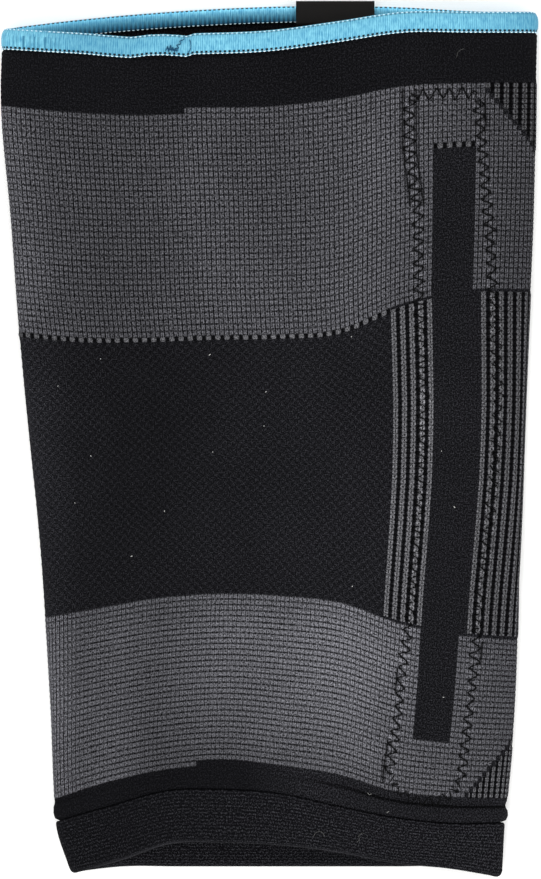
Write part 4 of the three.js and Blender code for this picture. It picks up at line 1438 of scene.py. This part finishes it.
tape_colour = add_node(
    tape_black, "Mix",
    {0: tape_tone.outputs[0], 6: linear_colour(TAPE_BLACK), 7: linear_colour(TAPE_LIT)},
    data_type="RGBA",
)
tape_bump = add_node(
    tape_black, "Bump", {"Strength": 0.5, "Distance": 0.0002, "Height": tape_wave.outputs[0]}
)
tape_shader = add_node(
    tape_black,
    "BsdfPrincipled",
    {
        "Base Color": tape_colour.outputs[2],
        "Roughness": 0.75,
        "Specular IOR Level": 0.25,
        "Normal": tape_bump.outputs[0],
    },
)
add_node(tape_black, "OutputMaterial", {"Surface": tape_shader.outputs[0]})

for tape_node, tape_front, top_row, bottom_row in STAY_TAPES:
    tape_top = (MIDDLE_ROW - top_row) * PHOTO_MM_PER_PIXEL - STAY_TAPE_INSET
    tape_bottom = (MIDDLE_ROW - bottom_row) * PHOTO_MM_PER_PIXEL + STAY_TAPE_INSET
    tape_y = np.linspace(tape_top, tape_bottom, TAPE_ROWS)
    tape_along, tape_half = section_at(tape_y)[:2]
    fold_length = 2 * (np.pi / 2 - 1) * FOLD_RADIUS
    edges = []
    for column in (1, 2):
        edge_share = smooth_table(CHANNEL[:, 0], CHANNEL[:, column], tape_along)
        if tape_front:
            edges.append((2 * edge_share - 1) * tape_half)
        else:
            edges.append((2 * (edge_share - 2 * KNEE_PANEL_SHARE) - 1) * tape_half - fold_length)
    step_share = np.linspace(0, 1, TAPE_STEPS + 1)
    step_share = step_share if tape_front else step_share[::-1]
    tape_x = edges[0][:, None] * (1 - step_share) + edges[1][:, None] * step_share
    across_place = place_at(tape_y[:, None], tape_x, tape_front)
    weave = 0.05 * np.sin(np.arange(TAPE_ROWS) * np.pi / 2)[:, None]
    weave = weave * np.cos(np.arange(TAPE_STEPS + 1) * np.pi / 2)
    selvedge = 0.1 * np.cos(np.pi * (step_share - 0.5)) ** 0.3
    face_top = KNIT_WALL + CLEARANCE + 0.15 - selvedge[None] + weave
    face_low = KNIT_WALL + CLEARANCE + STAY_TAPE_WALL - 0.15 + selvedge[None] + weave
    tape_place_grid = np.concatenate([across_place, across_place[:, ::-1]], axis=1)
    tape_depth = np.concatenate([face_top, face_low[:, ::-1]], axis=1)
    tape_heights = np.broadcast_to(tape_y[:, None], tape_depth.shape)
    tape_points = on_tube(tape_place_grid, tape_heights, tape_depth)
    tape_quads = strip_quads(TAPE_ROWS, 2 * (TAPE_STEPS + 1))
    tape = new_piece("woven_" + tape_node, tape_points.reshape(-1, 3), tape_quads, tape_black)
    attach(tape, "root")
    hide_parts(tape_node)


# Label. A woven satin ribbon folded in two, its ends sewn inside the back of the thigh end, left
# blank. It stands a little above the rim with a rounded fold.
LABEL_WIDTH = 26.0
LABEL_LENGTH = 19.0
LABEL_PLY = 0.4
LABEL_RISE = 1.6
LABEL_BEND = 2.4
LABEL_CENTRE_X = 21.6
LABEL_STEPS = 26
LABEL_RIM_HEIGHT = 136.0
PLY = 0.32
SLIT = 0.08

label_rim_place = place_at(np.array([LABEL_RIM_HEIGHT]), np.array([LABEL_CENTRE_X]), False)
label_rim = float(height_of(label_rim_place, np.array([RIM_COURSE]))[0])
on_binding = 2 * BINDING_WALL + EDGE_WALL + 3 * CLEARANCE
on_knit = KNIT_WALL + CLEARANCE
label_down = np.concatenate([
    np.linspace(LABEL_PLY - LABEL_RISE, BINDING_INNER_DEPTH + CLEARANCE, 16),
    np.linspace(BINDING_INNER_DEPTH + CLEARANCE, LABEL_LENGTH - LABEL_RISE, 28)[1:],
])
label_sink = np.clip((label_down - BINDING_INNER_DEPTH - CLEARANCE) / LABEL_BEND, 0, 1)
label_sink = label_sink ** 2 * (3 - 2 * label_sink)
label_base = on_binding + (on_knit - on_binding) * label_sink
arc = np.linspace(0, np.pi, 9)[1:-1]
fold_middle = on_binding + PLY + SLIT / 2
fold_radius = PLY + SLIT / 2
outer_fold = (label_down[0] - fold_radius * np.sin(arc), fold_middle - fold_radius * np.cos(arc))
inner_fold = (label_down[0] - SLIT / 2 * np.sin(arc), fold_middle + SLIT / 2 * np.cos(arc))
profile_down = np.concatenate([
    label_down[::-1], outer_fold[0], label_down, label_down[::-1], inner_fold[0], label_down
])
profile_depth = np.concatenate([
    label_base[::-1], outer_fold[1], label_base + 2 * PLY + SLIT,
    (label_base + PLY + SLIT)[::-1], inner_fold[1], label_base + PLY,
])
label_y = label_rim - profile_down
label_across = np.linspace(1, -1, LABEL_STEPS + 1)
label_x = (LABEL_CENTRE_X + LABEL_WIDTH / 2 * label_across)[None] - section_at(label_y)[2][:, None]
label_place = place_at(label_y[:, None], label_x, False)
label_curl = 0.15 * label_across[None] ** 2 * np.clip(1 - profile_down / 8, 0, 1)[:, None]
label_heights = np.broadcast_to(label_y[:, None], label_place.shape)
label_points = on_tube(label_place, label_heights, profile_depth[:, None] + label_curl)

# Satin-woven polyester ribbon: brownish black, with a soft sheen across its fine warp
SATIN_BLACK = "#0B0A09"
SATIN_LIT = "#171412"
satin = new_material("black_satin_ribbon")
satin_spot = add_node(satin, "TexCoord")
satin_map = add_node(
    satin, "Mapping", {"Vector": satin_spot.outputs["Object"], "Scale": (900.0, 5200.0, 900.0)}
)
satin_noise = add_node(satin, "TexNoise", {"Vector": satin_map.outputs[0], "Scale": 1.0, "Detail": 2.0})
satin_tone = add_node(
    satin, "Mix", {0: satin_noise.outputs[0], 6: linear_colour(SATIN_BLACK), 7: linear_colour(SATIN_LIT)},
    data_type="RGBA",
)
satin_bump = add_node(
    satin, "Bump", {"Strength": 0.3, "Distance": 0.0001, "Height": satin_noise.outputs[0]}
)
satin_shader = add_node(
    satin,
    "BsdfPrincipled",
    {
        "Base Color": satin_tone.outputs[2],
        "Roughness": 0.5,
        "Specular IOR Level": 0.12,
        "Normal": satin_bump.outputs[0],
    },
)
add_node(satin, "OutputMaterial", {"Surface": satin_shader.outputs[0]})


def ribbon_quads(rows, columns):
    """Quads of a ribbon whose profile runs out along its outside and back along its inside."""
    r, c = np.meshgrid(np.arange(rows), np.arange(columns - 1), indexing="ij")
    down = (r + 1) % rows
    here, below = r * columns + c, down * columns + c
    faces = np.stack([here, here + 1, below + 1, below], -1)
    k = np.arange(rows // 2 - 1)
    back = rows - 1 - k
    left = np.stack([k, k + 1, back - 1, back], -1) * columns
    right = left[:, ::-1] + columns - 1
    return np.concatenate([faces.reshape(-1, 4), left, right])


label = new_piece(
    "blank_label", label_points.reshape(-1, 3), ribbon_quads(len(profile_down), LABEL_STEPS + 1), satin
)
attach(label, "root")
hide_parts("label_tab")


# Loose ends. Where the braid's ends lap, a dark blue backtack holds them, and here and there a cut
# end of white elastane stands out of the knit.
PHOTO_MIDDLE = 270
# Columns and rows of the photograph along the backtack, the lap's edge and at the fibre ends
BACKTACK = [
    (166, 52), (168, 47), (169, 53), (171, 46), (172, 52.5), (173, 48), (175, 53), (176, 49),
    (178, 52), (170, 50.5), (167, 49), (174, 51), (179, 49), (177, 46), (181, 45), (180, 42),
    (183, 41), (185, 39.5),
]
LAP_LINE = [(190, 40.5), (190.8, 43), (191.2, 46), (191, 49), (190.2, 51.5), (188, 53.5)]
FIBRE_ENDS = [
    (101, 359), (210, 355), (58, 386), (266, 392), (351, 337), (75, 503), (213, 452), (264, 426),
    (91, 456), (165, 511), (132, 556), (454, 507), (352, 586), (441, 451), (443, 697),
]


def front_point(pixels):
    """Place round the front layer and height of points that are given as the photograph shows them."""
    across = (pixels[:, 0] - PHOTO_MIDDLE) * PHOTO_MM_PER_PIXEL
    y = (MIDDLE_ROW - pixels[:, 1]) * PHOTO_MM_PER_PIXEL
    return place_at(y, across - section_at(y)[2], True), y


def thread_along(pixels, depth, radius, steps):
    """Thread through points of the photograph at a depth: a closed tube along straight runs between them.
    """
    pixels = np.array(pixels, float)
    spaced = np.linspace(0, len(pixels) - 1, steps)
    line = np.stack([np.interp(spaced, np.arange(len(pixels)), pixels[:, k]) for k in (0, 1)], -1)
    return swept_tube(on_tube(*front_point(line), depth), radius, THREAD_SIDES)


def plain_fibre(name, colour, roughness, specular):
    """Material of a fibre too fine to show a pattern: one colour all over."""
    fibre = new_material(name)
    shader = add_node(
        fibre,
        "BsdfPrincipled",
        {
            "Base Color": linear_colour(colour),
            "Roughness": roughness,
            "Specular IOR Level": specular,
        },
    )
    add_node(fibre, "OutputMaterial", {"Surface": shader.outputs[0]})
    return fibre


# Spun polyester thread, dark blue and dull: a soft dark knot on the pale braid
thread_blue = plain_fibre("dark_blue_polyester_thread", "#12405E", 0.7, 0.1)
backtack = new_piece(
    "binding_backtack",
    *joined([thread_along(BACKTACK, -0.5, 0.15, 160), thread_along(LAP_LINE, -0.36, 0.13, 30)]),
    thread_blue,
)
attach(backtack, "root")

# Bare elastane, white and a little glossy: each cut end is a bright speck
fibre_white = plain_fibre("white_elastane_fibre", "#B9B9B6", 0.5, 0.3)
FIBRE_RADIUS = 0.13
CURL_RADIUS = 0.035
CURL_LIFT = 0.75
CURL_STEPS = 24
SEARCH_STEPS = 600
fibre_parts = []
for fibre_x, fibre_y in FIBRE_ENDS:
    fibre_place, fibre_height = front_point(np.array([(fibre_x, fibre_y)], float))
    fibre_courses = np.linspace(0, HEM_SEAM, SEARCH_STEPS)
    course_heights = height_of(np.full(SEARCH_STEPS, fibre_place[0]), fibre_courses)
    fibre_course = np.interp(-fibre_height, -course_heights, fibre_courses)
    fibre_twist = np.interp(0.5 - fibre_height / SLEEVE_LENGTH, TWIST[:, 0], TWIST[:, 1])
    fibre_depth = cloth_depth(fibre_place + fibre_twist, fibre_course, fibre_place)
    heading = rng.uniform(0, 2 * np.pi)
    reach_mm = rng.uniform(0.15, 0.4)
    step = np.linspace(-1, 1, 4) * reach_mm
    fibre_parts.append(swept_tube(
        on_tube(
            fibre_place + step * np.cos(heading) / WALE_MM, fibre_height + step * np.sin(heading),
            fibre_depth - 0.3 - 0.1 * np.linspace(0, 1, 4),
        ), FIBRE_RADIUS, THREAD_SIDES,
    ))

# Fine curled fibres that cling to the cloth, as points of the photograph
FIBRE_CURLS = [
    [(367, 792), (369, 794), (371, 793)],
    [(386, 812), (388, 811), (389, 809)],
]
for curl in FIBRE_CURLS:
    fibre_parts.append(thread_along(curl, -CURL_LIFT, CURL_RADIUS, CURL_STEPS))
fibres = new_piece("loose_fibre_ends", *joined(fibre_parts), fibre_white)
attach(fibres, "root")

# Cotton lint, grey and dull: fine curls that show dimly against the black cloth
lint_grey = plain_fibre("grey_lint_fibre", "#686866", 0.9, 0.1)
LINT_CURLS = [
    [(313, 836), (315, 832), (319, 830), (323, 832), (324, 836)],
    [(356, 842), (359, 839), (358, 835), (362, 832), (364, 833)],
    [(456, 58), (457, 53), (460, 50), (464, 49)],
]
lint_parts = [thread_along(curl, -CURL_LIFT, CURL_RADIUS, CURL_STEPS) for curl in LINT_CURLS]
lint = new_piece("clinging_lint", *joined(lint_parts), lint_grey)
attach(lint, "root")


# Camera straight above the middle of the picture, far back, so the sleeve shows without perspective
camera_data = bpy.data.cameras.new("camera")
camera_data.lens = LENS_MM
camera_data.sensor_width = SENSOR_MM
distance_m = LENS_MM / SENSOR_MM * PHOTO_HEIGHT * PHOTO_MM_PER_PIXEL * MM
camera = bpy.data.objects.new("camera", camera_data)
camera.location = (
    ((PHOTO_WIDTH / 2 - PHOTO_MIDDLE) * PHOTO_MM_PER_PIXEL + MOVE_X) * MM,
    ((MIDDLE_ROW - PHOTO_HEIGHT / 2) * PHOTO_MM_PER_PIXEL + MOVE_Y) * MM,
    distance_m + FOCUS_HEIGHT_MM * MM,
)
camera_data.clip_end = 20.0
bpy.context.scene.collection.objects.link(camera)
bpy.context.scene.camera = camera
